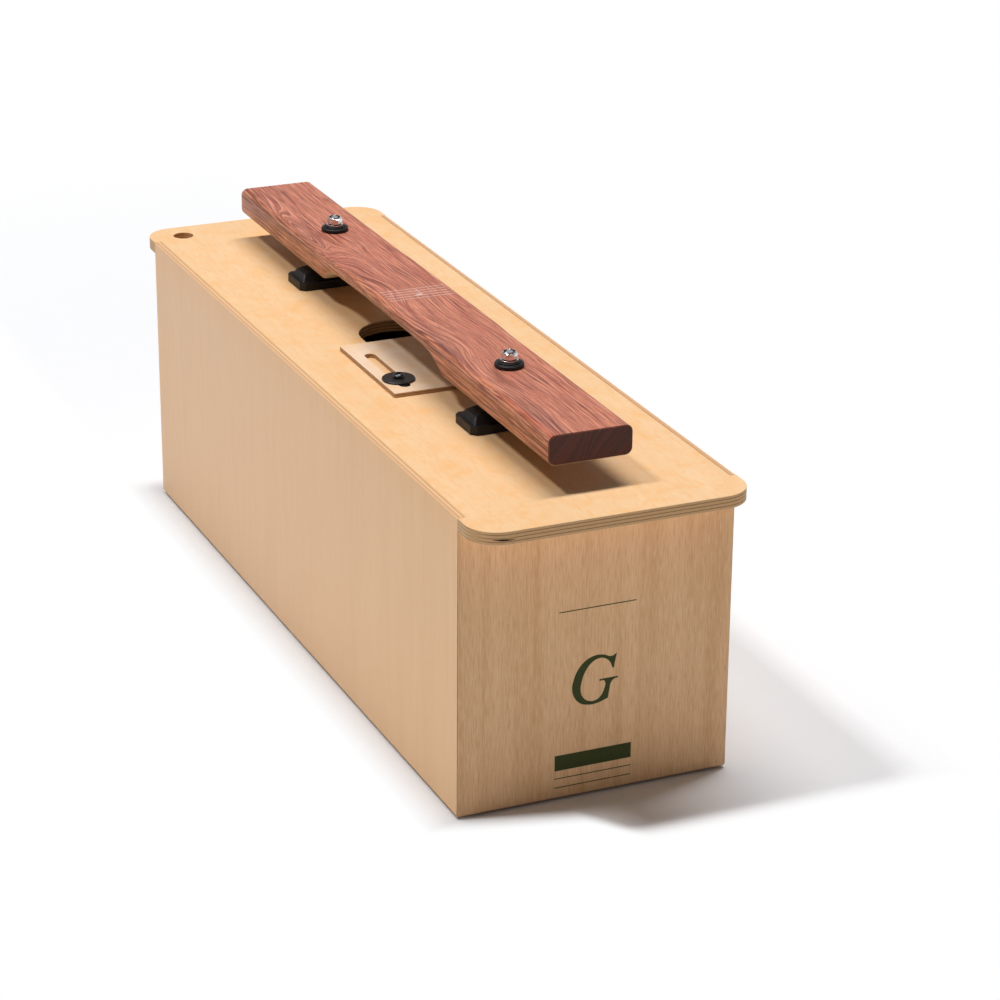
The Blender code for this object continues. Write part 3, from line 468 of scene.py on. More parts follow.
def side_veneer(groups, woods):
    """Pale lacquered veneer with quiet upright grain, and its plies on the top edge."""
    material, tree, shader = new_material("side_veneer_look")
    colour = tuple(woods.side_colour)
    grain = grained(tree, groups, colour, scaled(colour, (0.86, 0.80, 0.72)), (90.0, 90.0, 6.0),
                    (0.14, 0.10, 0.22))
    low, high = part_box("side_panel_left")
    parts = parts_of(tree, object_place(tree))
    across = calculated(tree, "ABSOLUTE", parts["Y"])
    depth = ranged(tree, across, abs(low[1]), abs(high[1]))
    forward = ranged(tree, parts["X"], -0.10, 0.28)
    upward = ranged(tree, parts["Z"], high[2] - 0.024, high[2])
    warmer = mixed(tree, grain["Colour"], (1.0, 0.965, 0.90), forward, "MULTIPLY")
    warmer = mixed(tree, warmer, (1.0, 0.955, 0.90), upward, "MULTIPLY")
    edge = use_group(tree, groups["ply"], {
        "Face Colour": warmer, "Depth": depth, "Thick Plies": 2.0,
        "Edge": face_mask(tree, "Z"), "End Grain": 0.35, "Pale Ply": scaled(colour, 1.03),
        "Brown Ply": scaled(colour, (0.86, 0.80, 0.72)), "Glue Line": scaled(colour, (0.45, 0.36, 0.28)),
    })
    right = calculated(tree, "GREATER_THAN", parts["Y"], 0.0)
    from_left = calculated(tree, "ABSOLUTE", calculated(tree, "SUBTRACT", depth, right))
    left_ply = calculated(tree, "MULTIPLY", ranged(tree, from_left, 0.78, 0.50), face_mask(tree, "Z"))
    tinted = mixed(tree, edge["Colour"], scaled(colour, (0.71, 0.61, 0.54)), left_ply)
    # Edges lightened partly by rubbing and partly as painted highlight along the arrises.
    edge_wear_and_highlight = use_group(tree, groups["edge_wear_and_highlight"], {"Radius": 0.0006, "Amount": 0.10})
    worn_and_highlit = mixed(tree, tinted, scaled(colour, 1.12), edge_wear_and_highlight["Mask"])
    link(tree, worn_and_highlit, shader.inputs["Base Color"])
    lacquer(tree, shader, grain["Height"], 0.42, 0.54)
    bumped(tree, shader, grain["Height"], 0.10, 0.0003)
    return material


def end_veneer(groups, woods):
    """Darker open-grained veneer of the end panels, with upright streaks and pores."""
    material, tree, shader = new_material("end_veneer_look")
    colour = tuple(woods.end_colour)
    grain = grained(tree, groups, colour, scaled(colour, (0.70, 0.61, 0.50)), (230.0, 230.0, 7.0),
                    (0.16, 0.14, 0.20))
    bands = noise(tree, stretched(tree, object_place(tree), (52.0, 52.0, 1.6)), 1.0, 3.0, 0.6)
    banded = mixed(tree, grain["Colour"], (0.86, 0.79, 0.70), ranged(tree, bands, 0.50, 0.68, 0.0, 0.9),
                   "MULTIPLY")
    banded = mixed(tree, banded, (1.04, 1.06, 1.08), ranged(tree, bands, 0.48, 0.34), "MULTIPLY")
    flecks = noise(tree, stretched(tree, object_place(tree), (1000.0, 1000.0, 85.0)), 1.0, 2.0, 0.6)
    flecked = mixed(tree, banded, scaled(colour, (1.04, 1.14, 1.25)),
                    ranged(tree, flecks, 0.47, 0.36, 0.0, 0.55))
    flecked = mixed(tree, flecked, scaled(colour, (0.74, 0.66, 0.56)),
                    ranged(tree, flecks, 0.53, 0.66, 0.0, 0.45))
    # Edges lightened partly by rubbing and partly as painted highlight along the arrises.
    edge_wear_and_highlight = use_group(tree, groups["edge_wear_and_highlight"], {"Radius": 0.0008, "Amount": 0.35})
    worn_and_highlit = mixed(tree, flecked, scaled(colour, 1.12), edge_wear_and_highlight["Mask"])
    link(tree, worn_and_highlit, shader.inputs["Base Color"])
    lacquer(tree, shader, grain["Height"], 0.45, 0.60)
    bumped(tree, shader, grain["Height"], 0.20, 0.0004)
    return material


def plywood(name, groups, node, colour, core, stretch, strengths, thick_plies, gap=None, joint=None):
    """Veneered plywood piece: face grain with a dark joint, plies on the edge, and painted shade for an open
    gap in a core ply.
    """
    material, tree, shader = new_material(name)
    grain = grained(tree, groups, colour, scaled(colour, (0.80, 0.68, 0.52)), stretch, strengths)
    clouds = noise(tree, object_place(tree), 48.0, 5.0, 0.65, 0.6)
    face = mixed(tree, grain["Colour"], scaled(colour, (0.97, 0.83, 0.64)),
                 ranged(tree, clouds, 0.44, 0.66, 0.0, 0.75))
    slanting = stretched(tree, object_place(tree), (90.0, 320.0, 320.0), (0.0, 0.0, 25.0))
    flecks = noise(tree, slanting, 1.0, 3.0, 0.6)
    face = mixed(tree, face, scaled(colour, (0.96, 0.82, 0.62)), ranged(tree, flecks, 0.54, 0.66, 0.0, 0.50))
    if joint is not None:
        face = mixed(tree, face, scaled(colour, (0.76, 0.66, 0.55)), joint(tree))
    low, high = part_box(node)
    height = parts_of(tree, object_place(tree))["Z"]
    upright = calculated(tree, "SUBTRACT", 1.0, face_mask(tree, "Z", 0.45, 0.70))
    edge = use_group(tree, groups["ply"], {
        "Face Colour": face, "Depth": ranged(tree, height, high[2], low[2]), "Thick Plies": thick_plies,
        "Edge": upright, "End Grain": face_mask(tree, "X", 0.25, 0.80),
        "Pale Ply": scaled(core, (0.86, 0.79, 0.70)), "Brown Ply": scaled(core, (0.58, 0.52, 0.43)),
        "Glue Line": scaled(core, (0.42, 0.31, 0.18)),
    })
    # Painted shade: the open gap in a core ply is coloured near-black instead of being cut.
    cut = edge["Colour"] if gap is None else mixed(tree, edge["Colour"], (0.015, 0.009, 0.005), gap(tree))
    # Edges lightened partly by rubbing and partly as painted highlight along the arrises.
    edge_wear_and_highlight = use_group(tree, groups["edge_wear_and_highlight"], {"Radius": 0.0007, "Amount": 0.6})
    worn_and_highlit = mixed(tree, cut, scaled(colour, 1.10), edge_wear_and_highlight["Mask"])
    link(tree, worn_and_highlit, shader.inputs["Base Color"])
    lacquer(tree, shader, grain["Height"], 0.38, 0.50)
    bumped(tree, shader, grain["Height"], 0.08, 0.0003)
    return material


def panel_joint(tree):
    """Mask of the dark joint between the plate and the left side panel's top edge."""
    place = parts_of(tree, object_place(tree))
    low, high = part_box("side_panel_left")
    beside = ranged(tree, place["Y"], high[1] + 0.0022, high[1] + 0.0012)
    between = ranged(tree, calculated(tree, "ABSOLUTE", place["X"]), high[0], high[0] + 0.0005, 1.0, 0.0)
    return calculated(tree, "MULTIPLY", beside, between)


def core_gap_shade(tree):
    """Mask of the small open gap in a core ply at the plate's front left corner, where painted near-black
    shade stands in for a cut hole.
    """
    place = parts_of(tree, object_place(tree))
    along = ranged(tree, calculated(tree, "ABSOLUTE", calculated(tree, "ADD", place["Y"], 0.0806)),
                   0.0080, 0.0015)
    middle = calculated(tree, "MULTIPLY_ADD", place["Y"], -0.04, 0.2062)
    tall = calculated(tree, "MULTIPLY", along, 0.0006)
    off = calculated(tree, "ABSOLUTE", calculated(tree, "SUBTRACT", place["Z"], middle))
    inside = calculated(tree, "LESS_THAN", off, tall)
    front = calculated(tree, "GREATER_THAN", place["X"], 0.0)
    return calculated(tree, "MULTIPLY", inside, front)


def softwood(groups):
    """Sawn spruce of the glue blocks and battens."""
    material, tree, shader = new_material("softwood_look", 0.7)
    colour = (0.62, 0.45, 0.26)
    grain = grained(tree, groups, colour, scaled(colour, (0.62, 0.50, 0.40)), (90.0, 90.0, 90.0),
                    (0.3, 0.5, 0.2))
    link(tree, grain["Colour"], shader.inputs["Base Color"])
    bumped(tree, shader, grain["Height"], 0.3, 0.0005)
    return material


def shifted(tree, vector, offset, amount):
    """A vector pushed about by a colour texture, by up to an amount along each axis."""
    centred = tree.nodes.new("ShaderNodeVectorMath")
    centred.operation = "SUBTRACT"
    link(tree, offset, centred.inputs[0])
    centred.inputs[1].default_value = (0.5, 0.5, 0.5)
    pushed = tree.nodes.new("ShaderNodeVectorMath")
    pushed.operation = "MULTIPLY_ADD"
    link(tree, centred.outputs["Vector"], pushed.inputs[0])
    pushed.inputs[1].default_value = amount
    link(tree, vector, pushed.inputs[2])
    return pushed.outputs["Vector"]


def streaks(tree, along, rings, per_metre, reach):
    """Uneven streaks that follow the growth lines: how many a metre across, and how soon they change."""
    vector = tree.nodes.new("ShaderNodeCombineXYZ")
    feed(tree, calculated(tree, "MULTIPLY", along, reach), vector.inputs["X"])
    feed(tree, calculated(tree, "MULTIPLY", rings, per_metre), vector.inputs["Y"])
    return noise(tree, vector.outputs["Vector"], 1.0, 2.0, 0.6)


def mound(tree, along, across, centre, size, height):
    """A long smooth mound round a point."""
    squares = []
    for value, middle, reach in zip((along, across), centre, size):
        share = calculated(tree, "DIVIDE", calculated(tree, "SUBTRACT", value, middle), reach)
        squares.append(calculated(tree, "MULTIPLY", share, share))
    spread = calculated(tree, "ADD", calculated(tree, "ADD", squares[0], squares[1]), 1.0)
    return calculated(tree, "DIVIDE", height, spread)


def growth_bends(tree, place):
    """How far the growth lines leave straight: waves in front, a dive to the left edge and a loop behind."""
    parts = parts_of(tree, place)
    along = parts["X"]
    across = parts["Y"]
    turns = calculated(tree, "MULTIPLY_ADD", along, 2.0 * math.pi / 0.13, -2.17)
    reach = calculated(tree, "MULTIPLY", ranged(tree, across, 0.024, -0.012), ranged(
        tree, along, -0.09, -0.04, 0.0, 0.0036))
    reach = calculated(tree, "MULTIPLY", reach, ranged(tree, across, -0.030, -0.016, 0.3, 1.0))
    reach = calculated(tree, "MULTIPLY", reach, ranged(tree, along, 0.17, 0.24, 1.0, 0.35))
    waves = calculated(tree, "MULTIPLY", calculated(tree, "COSINE", turns), reach)
    dive = calculated(tree, "MULTIPLY", eased(tree, along, -0.135, -0.068), eased(
        tree, across, 0.004, -0.012, 0.0, -0.015))
    loop = mound(tree, along, across, (-0.166, -0.0250), (0.064, 0.0052), 0.015)
    knot = mound(tree, along, across, (-0.125, 0.005), (0.018, 0.006), -0.004)
    return calculated(tree, "ADD", calculated(tree, "ADD", waves, dive), calculated(tree, "ADD", loop, knot))


def side_rings(tree, wavering):
    """Growth lines of the bar's left side, which lie level and meet those of the top at the edge."""
    low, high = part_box("tone_bar")
    slant = math.radians(RING_SLANT)
    edge_value = low[1] * math.cos(slant) - high[2] * math.sin(slant)
    height = calculated(tree, "SUBTRACT", parts_of(tree, wavering)["Z"], high[2])
    return calculated(tree, "MULTIPLY_ADD", height, 0.55, edge_value)


def rosewood_end(tree, along, rings):
    """Nearly black end grain with broad faint slanting bands."""
    bands = ranged(tree, streaks(tree, along, rings, 170.0, 1.0), 0.40, 0.62)
    fine = ranged(tree, streaks(tree, along, rings, 620.0, 1.0), 0.45, 0.65, 0.0, 0.45)
    dust = noise(tree, object_place(tree), 900.0, 3.0)
    colour = mixed(tree, (0.062, 0.012, 0.005), (0.106, 0.018, 0.008), bands)
    colour = mixed(tree, colour, (0.135, 0.032, 0.016), fine)
    return mixed(tree, colour, (0.046, 0.009, 0.004), ranged(tree, dust, 0.48, 0.70, 0.0, 0.6))


def rosewood_zones(tree, parts, uneven):
    """How purple-brown the top is: near the left edge, behind the front nut, and in a band in front of it."""
    across = calculated(tree, "MULTIPLY_ADD", uneven, 0.016, parts["Y"])
    zones = 0.0
    for centre, size, height in (
        ((0.106, -0.0270), (0.040, 0.0070), 1.25),
        ((0.190, -0.0110), (0.030, 0.0070), 0.48),
        ((0.255, -0.0185), (0.060, 0.0045), 0.90),
        ((-0.165, -0.0260), (0.060, 0.0070), 0.68),
    ):
        zones = calculated(tree, "MAXIMUM", zones, mound(tree, parts["X"], across, centre, size, height))
    return ranged(tree, zones, 0.25, 1.08)


def rosewood_tone(tree, place, wavering, woods):
    """Broad colour of the bar: rose with purple-brown zones, orange at the left edge and on the sides."""
    main = tuple(woods.rosewood_colour)
    edge = tuple(woods.rosewood_edge_colour)
    parts = parts_of(tree, place)
    patches = noise(tree, stretched(tree, wavering, (9.0, 80.0, 80.0)), 1.0, 4.0, 0.6)
    clouds = noise(tree, stretched(tree, wavering, (6.0, 80.0, 70.0)), 1.0, 3.0, 0.55)
    tone = mixed(tree, main, scaled(main, (0.88, 0.74, 0.76)), ranged(tree, clouds, 0.50, 0.68))
    tone = mixed(tree, tone, scaled(main, (1.06, 1.12, 1.06)), ranged(tree, clouds, 0.47, 0.31))
    uneven = calculated(tree, "SUBTRACT", patches, 0.5)
    tone = mixed(tree, tone, tuple(woods.rosewood_zone_colour), rosewood_zones(tree, parts, uneven))
    left = calculated(tree, "MULTIPLY_ADD", uneven, 0.024, parts["Y"])
    left = calculated(tree, "ADD", left, mound(tree, parts["X"], 0.0, (0.205, 0.0), (0.030, 1.0), -0.0026))
    left = calculated(tree, "ADD", left, ranged(tree, parts["X"], 0.215, 0.245, 0.0, -0.0024))
    rim = mixed(tree, scaled(edge, (1.34, 1.22, 1.30)), scaled(edge, (1.00, 0.60, 0.71)), ranged(
        tree, parts["X"], 0.208, 0.236))
    tone = mixed(tree, tone, rim, ranged(tree, left, -0.0252, -0.0272, 0.0, 0.9))
    sides = mixed(tree, edge, scaled(edge, (0.72, 0.66, 0.60)), ranged(tree, clouds, 0.42, 0.62))
    sides = mixed(tree, sides, (0.95, 0.84, 0.66), ranged(tree, parts["X"], -0.02, 0.13), "MULTIPLY")
    sides = mixed(tree, sides, (1.13, 1.15, 1.03), ranged(tree, parts["X"], -0.04, -0.12), "MULTIPLY")
    sides = mixed(tree, sides, (0.89, 0.99, 1.20), ranged(tree, parts["X"], -0.19, -0.24), "MULTIPLY")
    dashes = noise(tree, stretched(tree, wavering, (75.0, 480.0, 480.0)), 1.0, 3.0, 0.7)
    line = tuple(woods.rosewood_line_colour)
    sides = mixed(tree, sides, line, ranged(tree, dashes, 0.52, 0.66, 0.0, 0.75))
    sides = mixed(tree, sides, scaled(edge, (1.25, 1.30, 1.35)), ranged(tree, dashes, 0.47, 0.36, 0.0, 0.75))
    return mixed(tree, tone, sides, face_mask(tree, "Y", 0.55, 0.90))


def rosewood(groups, woods):
    """Oiled rosewood: fine uneven growth lines, an orange left edge, dark ends, and a tan underside that
    stands in for light bounced into its shadow on the plate.
    """
    material, tree, shader = new_material("rosewood_look", 0.42)
    main = tuple(woods.rosewood_colour)
    dark = tuple(woods.rosewood_line_colour)
    place = object_place(tree)
    bends = noise(tree, stretched(tree, place, (3.2, 8.0, 8.0)), 1.0, 1.0, output="Color")
    ripples = noise(tree, stretched(tree, place, (12.0, 50.0, 50.0)), 1.0, 1.0, output="Color")
    bent = shifted(tree, place, bends, (0.0, 0.010, 0.010))
    wavering = shifted(tree, bent, ripples, (0.0, 0.0016, 0.0016))
    along = parts_of(tree, place)["X"]
    rings = parts_of(tree, stretched(tree, wavering, (1.0, 1.0, 1.0), (RING_SLANT, 0.0, 0.0)))["Y"]
    rings = calculated(tree, "ADD", rings, growth_bends(tree, place))
    beside = calculated(tree, "SUBTRACT", side_rings(tree, wavering), rings)
    rings = calculated(tree, "MULTIPLY_ADD", face_mask(tree, "Y", 0.50, 0.95), beside, rings)
    broad = streaks(tree, along, rings, 330.0, 7.0)
    lines = streaks(tree, along, rings, 1050.0, 9.0)
    threads = streaks(tree, along, rings, 1900.0, 22.0)
    dashes = streaks(tree, calculated(tree, "ADD", along, 2.0), rings, 800.0, 13.0)
    pores = noise(tree, stretched(tree, wavering, (60.0, 1500.0, 1500.0)), 1.0, 2.0, 0.5)

    tone = rosewood_tone(tree, place, wavering, woods)
    deep = mixed(tree, tone, (0.55, 0.36, 0.34), 1.0, "MULTIPLY")
    pale = mixed(tree, tone, scaled(main, (1.40, 1.80, 1.90)), 0.75)
    calm = ranged(tree, parts_of(tree, place)["Y"], 0.000, 0.022, 1.0, 0.60)
    lined = mixed(tree, tone, deep, ranged(tree, broad, 0.50, 0.64, 0.0, 0.45))
    pale_lines = calculated(tree, "MULTIPLY", calm, ranged(tree, lines, 0.47, 0.37, 0.0, 0.70))
    dark_lines = calculated(tree, "MULTIPLY", calm, ranged(tree, lines, 0.53, 0.64, 0.0, 0.75))
    lined = mixed(tree, lined, pale, pale_lines)
    lined = mixed(tree, lined, dark, dark_lines)
    lined = mixed(tree, lined, pale, ranged(tree, threads, 0.47, 0.38, 0.0, 0.82))
    lined = mixed(tree, lined, dark, ranged(tree, threads, 0.53, 0.64, 0.0, 0.82))
    lined = mixed(tree, lined, dark, ranged(tree, pores, 0.55, 0.66, 0.0, 0.65))
    lined = mixed(tree, lined, scaled(dark, 0.45), ranged(tree, dashes, 0.58, 0.67, 0.0, 0.62))
    lined = mixed(tree, lined, scaled(main, (1.35, 1.75, 1.85)),
                  ranged(tree, dashes, 0.42, 0.34, 0.0, 0.45))

    whole = mixed(tree, lined, rosewood_end(tree, along, rings), face_mask(tree, "X", 0.45, 0.75))
    # Painted light: the unseen underside is tan instead of rosewood, so that the light it bounces into the
    # bar's shadow on the plate is lighter and less red.
    geometry = tree.nodes.new("ShaderNodeNewGeometry")
    bounce_underside = ranged(tree, parts_of(tree, geometry.outputs["Normal"])["Z"], -0.25, -0.70)
    whole = mixed(tree, whole, mixed(tree, (0.30, 0.215, 0.140), (0.40, 0.295, 0.200), lines), bounce_underside)
    # Edges lightened partly by rubbing and partly as painted highlight along the arrises.
    edge_wear_and_highlight = use_group(tree, groups["edge_wear_and_highlight"], {"Radius": 0.0006, "Amount": 0.22})
    link(tree, mixed(tree, whole, scaled(main, 1.25), edge_wear_and_highlight["Mask"]), shader.inputs["Base Color"])
    link(tree, ranged(tree, threads, 0.35, 0.75, 0.36, 0.55), shader.inputs["Roughness"])
    shader.inputs["Specular IOR Level"].default_value = 0.35
    bumped(tree, shader, threads, 0.22, 0.0003)
    return material


# Finishes of rubber, plastic, metal, felt and print


def moulded_black(name, groups, colour, roughness, scale):
    """Black rubber or plastic with a fine texture, handling marks, and edges greyed partly by rubbing and
    partly as painted highlight.
    """
    material, tree, shader = new_material(name, roughness)
    marks = use_group(tree, groups["handling"], {"Scale": scale, "Amount": 0.6})
    # Edges greyed partly by rubbing and partly as painted highlight.
    edge_wear_and_highlight = use_group(tree, groups["edge_wear_and_highlight"], {"Radius": 0.0005, "Amount": 0.5})
    dusty = mixed(tree, colour, scaled(colour, 2.2), marks["Mask"])
    link(tree, mixed(tree, dusty, scaled(colour, 5.0), edge_wear_and_highlight["Mask"]), shader.inputs["Base Color"])
    link(tree, ranged(tree, marks["Height"], 0.3, 0.7, roughness * 0.85, roughness * 1.25),
         shader.inputs["Roughness"])
    shader.inputs["Specular IOR Level"].default_value = 0.45
    bumped(tree, shader, marks["Height"], 0.20, 0.0002)
    return material


def plated_metal(name, groups, colour, roughness):
    """Plated or blackened steel with faint tarnish, and edges brightened partly by rubbing and partly as
    painted highlight.
    """
    material, tree, shader = new_material(name, roughness, 1.0)
    marks = use_group(tree, groups["handling"], {"Scale": 300.0, "Amount": 0.35})
    # Edges brightened partly by rubbing and partly as painted highlight.
    edge_wear_and_highlight = use_group(tree, groups["edge_wear_and_highlight"], {"Radius": 0.0003, "Amount": 0.6})
    tarnished = mixed(tree, colour, scaled(colour, (0.72, 0.70, 0.68)), marks["Mask"])
    link(tree, mixed(tree, tarnished, scaled(colour, 1.15), edge_wear_and_highlight["Mask"]), shader.inputs["Base Color"])
    link(tree, ranged(tree, marks["Height"], 0.3, 0.7, roughness * 0.8, roughness * 1.6),
         shader.inputs["Roughness"])
    return material


def grey_felt(groups):
    """Grey felt of the feet."""
    material, tree, shader = new_material("grey_felt_look", 0.95)
    marks = use_group(tree, groups["handling"], {"Scale": 900.0, "Amount": 0.8})
    link(tree, mixed(tree, (0.34, 0.34, 0.33), (0.50, 0.50, 0.49), marks["Mask"]),
         shader.inputs["Base Color"])
    bumped(tree, shader, marks["Height"], 0.6, 0.0003)
    return material


def print_ink(groups, colour):
    """Dark green printing ink that lets a little of the wood's grain through."""
    material, tree, shader = new_material("print_ink_look", 0.5)
    shader.inputs["Specular IOR Level"].default_value = 0.12
    marks = use_group(tree, groups["handling"], {"Scale": 700.0, "Amount": 0.5})
    grain = noise(tree, stretched(tree, object_place(tree), (900.0, 900.0, 45.0)), 1.0, 3.0, 0.7)
    shaded = mixed(tree, colour, scaled(colour, 1.5), marks["Mask"])
    threaded = mixed(tree, shaded, scaled(colour, 0.55), ranged(tree, grain, 0.50, 0.70, 0.0, 0.6))
    link(tree, threaded, shader.inputs["Base Color"])
    return material


def engraving(groups, colour):
    """Pale engraved line, broken by the grain."""
    material, tree, shader = new_material("engraving_look", 0.7)
    marks = use_group(tree, groups["handling"], {"Scale": 450.0, "Amount": 0.55})
    link(tree, mixed(tree, colour, scaled(colour, (0.82, 0.66, 0.60)), marks["Mask"]),
         shader.inputs["Base Color"])
    return material


def coat(finish, material):
    """Give the CAD nodes of one finish a material in every slot."""
    for node in FINISHES[finish]:
        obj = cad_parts[node]
        if not obj.data.materials:
            obj.data.materials.append(material)
        for material_slot in obj.material_slots:
            material_slot.material = material


# Marks


def link_mark(name, data, matrix, material, body):
    """Put a mark's mesh or curve in place and let it ride on its body."""
    data.materials.append(material)
    obj = bpy.data.objects.new(name, data)
    obj.matrix_world = matrix
    bpy.context.scene.collection.objects.link(obj)
    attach(obj, body)


def flat_shape(name, outline):
    """Mesh of a thin printed or engraved shape."""
    bm = bmesh.new()
    face = bm.faces.new([bm.verts.new((x, y, 0.0)) for x, y in outline])
    extruded = bmesh.ops.extrude_face_region(bm, geom=[face])
    moved = [item for item in extruded["geom"] if isinstance(item, bmesh.types.BMVert)]
    bmesh.ops.translate(bm, verts=moved, vec=(0.0, 0.0, MARK_THICKNESS))
    bmesh.ops.recalc_face_normals(bm, faces=bm.faces)
    mesh = bpy.data.meshes.new(name)
    bm.to_mesh(mesh)
    bm.free()
    return mesh


def letter_curve(name, height):
    """Filled curve of the pitch letter, round its own middle."""
    curve = bpy.data.curves.new(name, "CURVE")
    curve.dimensions = "2D"
    curve.fill_mode = "BOTH"
    curve.extrude = MARK_THICKNESS / 2
    curve.resolution_u = 6
    spline = curve.splines.new("BEZIER")
    spline.bezier_points.add(len(LETTER_POINTS) - 1)
    spline.use_cyclic_u = True
    for point, (x, y, sharp) in zip(spline.bezier_points, LETTER_POINTS):
        point.co = (x * height, y * height, MARK_THICKNESS / 2)
        point.handle_left_type = point.handle_right_type = "VECTOR" if sharp else "AUTO"
    return curve


def rectangle(width, height):
    """Outline of a rectangle round the origin."""
    x = width / 2
    y = height / 2
    return [(x, y), (-x, y), (-x, -y), (x, -y)]


def ellipse(width, height, turn_degrees, steps=20):
    """Outline of an ellipse round the origin, turned by an angle."""
    turn = math.radians(turn_degrees)
    points = []
    for step in range(steps):
        angle = 2 * math.pi * step / steps
        x = width / 2 * math.cos(angle)
        y = height / 2 * math.sin(angle)
        points.append((x * math.cos(turn) - y * math.sin(turn), x * math.sin(turn) + y * math.cos(turn)))
    return points


def front_face_matrix(across, up):
    """Places a mark on the front end panel, upright and facing +X."""
    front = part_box("end_panel_front")[1][0] + MARK_LIFT
    turn = Matrix(((0.0, 0.0, 1.0), (1.0, 0.0, 0.0), (0.0, 1.0, 0.0)))
    return Matrix.Translation((front, across, up)) @ turn.to_4x4()


def bar_top_matrix(along, across):
    """Places a mark on the bar's top face, read from the front end."""
    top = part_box("tone_bar")[1][2] + MARK_LIFT
    return Matrix.Translation((along, across, top)) @ Matrix.Rotation(math.radians(90), 4, "Z")


# Stage


def painted_white_floor(tree):
    """Mask of the floor that the camera sees painted white: past drawn lines beside and in front of the box,
    where it covers the soft edge of the real shadow, and far from the box.
    """
    place = object_place(tree)
    parts = parts_of(tree, place)
    distance = tree.nodes.new("ShaderNodeVectorMath")
    distance.operation = "LENGTH"
    link(tree, place, distance.inputs[0])
    far = ranged(tree, distance.outputs["Value"], 0.75, 1.25)
    left = ranged(tree, parts["Y"], -0.100, -0.125)
    right = ranged(tree, parts["Y"], 0.222, 0.255)
    slanted = calculated(tree, "MULTIPLY_ADD", parts["Y"], 0.26, 0.3440)
    turned = eased(tree, parts["Y"], -0.024, 0.014)
    offset = calculated(tree, "SUBTRACT", 0.3760, slanted)
    forward = calculated(tree, "MULTIPLY_ADD", turned, offset, slanted)
    front = eased(tree, calculated(tree, "SUBTRACT", parts["X"], forward), -0.012, 0.012)
    sides = calculated(tree, "MAXIMUM", left, right)
    return calculated(tree, "MAXIMUM", far, calculated(tree, "MAXIMUM", sides, front))


def backdrop_material():
    """Pale floor: it keeps the object's shadow, shows plain white away from it, and paints white over the
    shadow's soft edges beside and in front of the box.
    """
    material, tree, shader = new_material("backdrop", 0.9)
    grain = noise(tree, object_place(tree), 30.0, 2.0)
    link(tree, mixed(tree, (0.875, 0.882, 0.905), (0.895, 0.902, 0.925), grain), shader.inputs["Base Color"])
    shader.inputs["Specular IOR Level"].default_value = 0.0
    white = tree.nodes.new("ShaderNodeEmission")
    seen = tree.nodes.new("ShaderNodeLightPath").outputs["Is Camera Ray"]
    mix = tree.nodes.new("ShaderNodeMixShader")
    # Painted light: camera rays see white emission where the mask is set, also over the soft edge of the real
    # shadow.
    link(tree, calculated(tree, "MULTIPLY", seen, painted_white_floor(tree)), mix.inputs["Fac"])
    link(tree, shader.outputs["BSDF"], mix.inputs[1])
    link(tree, white.outputs["Emission"], mix.inputs[2])
    link(tree, mix.outputs["Shader"], tree.nodes["Material Output"].inputs["Surface"])
    return material


def add_floor():
    """A large floor that the object stands on."""
    mesh = bpy.data.meshes.new("floor")
    bm = bmesh.new()
    bmesh.ops.create_grid(bm, x_segments=1, y_segments=1, size=30.0)
    bm.to_mesh(mesh)
    bm.free()
    mesh.materials.append(backdrop_material())
    floor = bpy.data.objects.new("floor", mesh)
    floor.location.z = CAD_BOX[0][2]
    bpy.context.scene.collection.objects.link(floor)


def add_studio_walls():
    """Studio walls that only reflections show: dark on the camera's side and pale behind the object."""
    material, tree, shader = new_material("studio_walls", 0.9)
    parts = parts_of(tree, object_place(tree))
    behind = calculated(tree, "MULTIPLY_ADD", parts["X"], -2.3, parts["Y"])
    pale = ranged(tree, calculated(tree, "SUBTRACT", behind, parts["Z"]), 6.0, 12.0)
    link(tree, mixed(tree, (0.02, 0.02, 0.02), (0.85, 0.85, 0.86), pale), shader.inputs["Base Color"])
    bm = bmesh.new()
    bmesh.ops.create_cone(bm, segments=48, cap_ends=True, radius1=9.0, radius2=9.0, depth=9.4)
    lowest = min(bm.faces, key=lambda face: face.calc_center_median().z)
    bmesh.ops.delete(bm, geom=[lowest], context="FACES")
    bmesh.ops.translate(bm, verts=bm.verts, vec=(0.0, 0.0, 5.3))
    mesh = bpy.data.meshes.new("studio_walls")
    bm.to_mesh(mesh)
    bm.free()
    mesh.materials.append(material)
    walls = bpy.data.objects.new("studio_walls", mesh)
    walls.visible_camera = False
    walls.visible_diffuse = False
    walls.visible_shadow = False
    bpy.context.scene.collection.objects.link(walls)


def add_area(name, power, shape, size, direction, distance):
    """A soft lamp in a direction from the object, turned towards it, its second size along Y."""
    lamp = bpy.data.lights.new(name, "AREA")
    lamp.energy = power
    lamp.shape = shape
    lamp.size, lamp.size_y = size
    obj = bpy.data.objects.new(name, lamp)
    back = Vector(direction).normalized()
    across = Vector((0.0, 1.0, 0.0)).cross(back).normalized()
    axes = Matrix((across, back.cross(across), back)).transposed()
    obj.matrix_world = Matrix.Translation(back * distance) @ axes.to_4x4()
    bpy.context.scene.collection.objects.link(obj)


def add_world(ambient):
    """White surroundings for the camera and for reflections, and a low even light on the object."""
    world = bpy.data.worlds.new("studio")
    world.use_nodes = True
    tree = world.node_tree
    background = tree.nodes["Background"]
    path = tree.nodes.new("ShaderNodeLightPath")
    seen = calculated(tree, "MAXIMUM", path.outputs["Is Camera Ray"], path.outputs["Is Glossy Ray"])
    seen = calculated(tree, "MAXIMUM", seen, path.outputs["Is Transmission Ray"])
    background.inputs["Color"].default_value = (1.0, 1.0, 1.0, 1.0)
    link(tree, ranged(tree, seen, 0.0, 1.0, ambient, 1.0), background.inputs["Strength"])
    bpy.context.scene.world = world


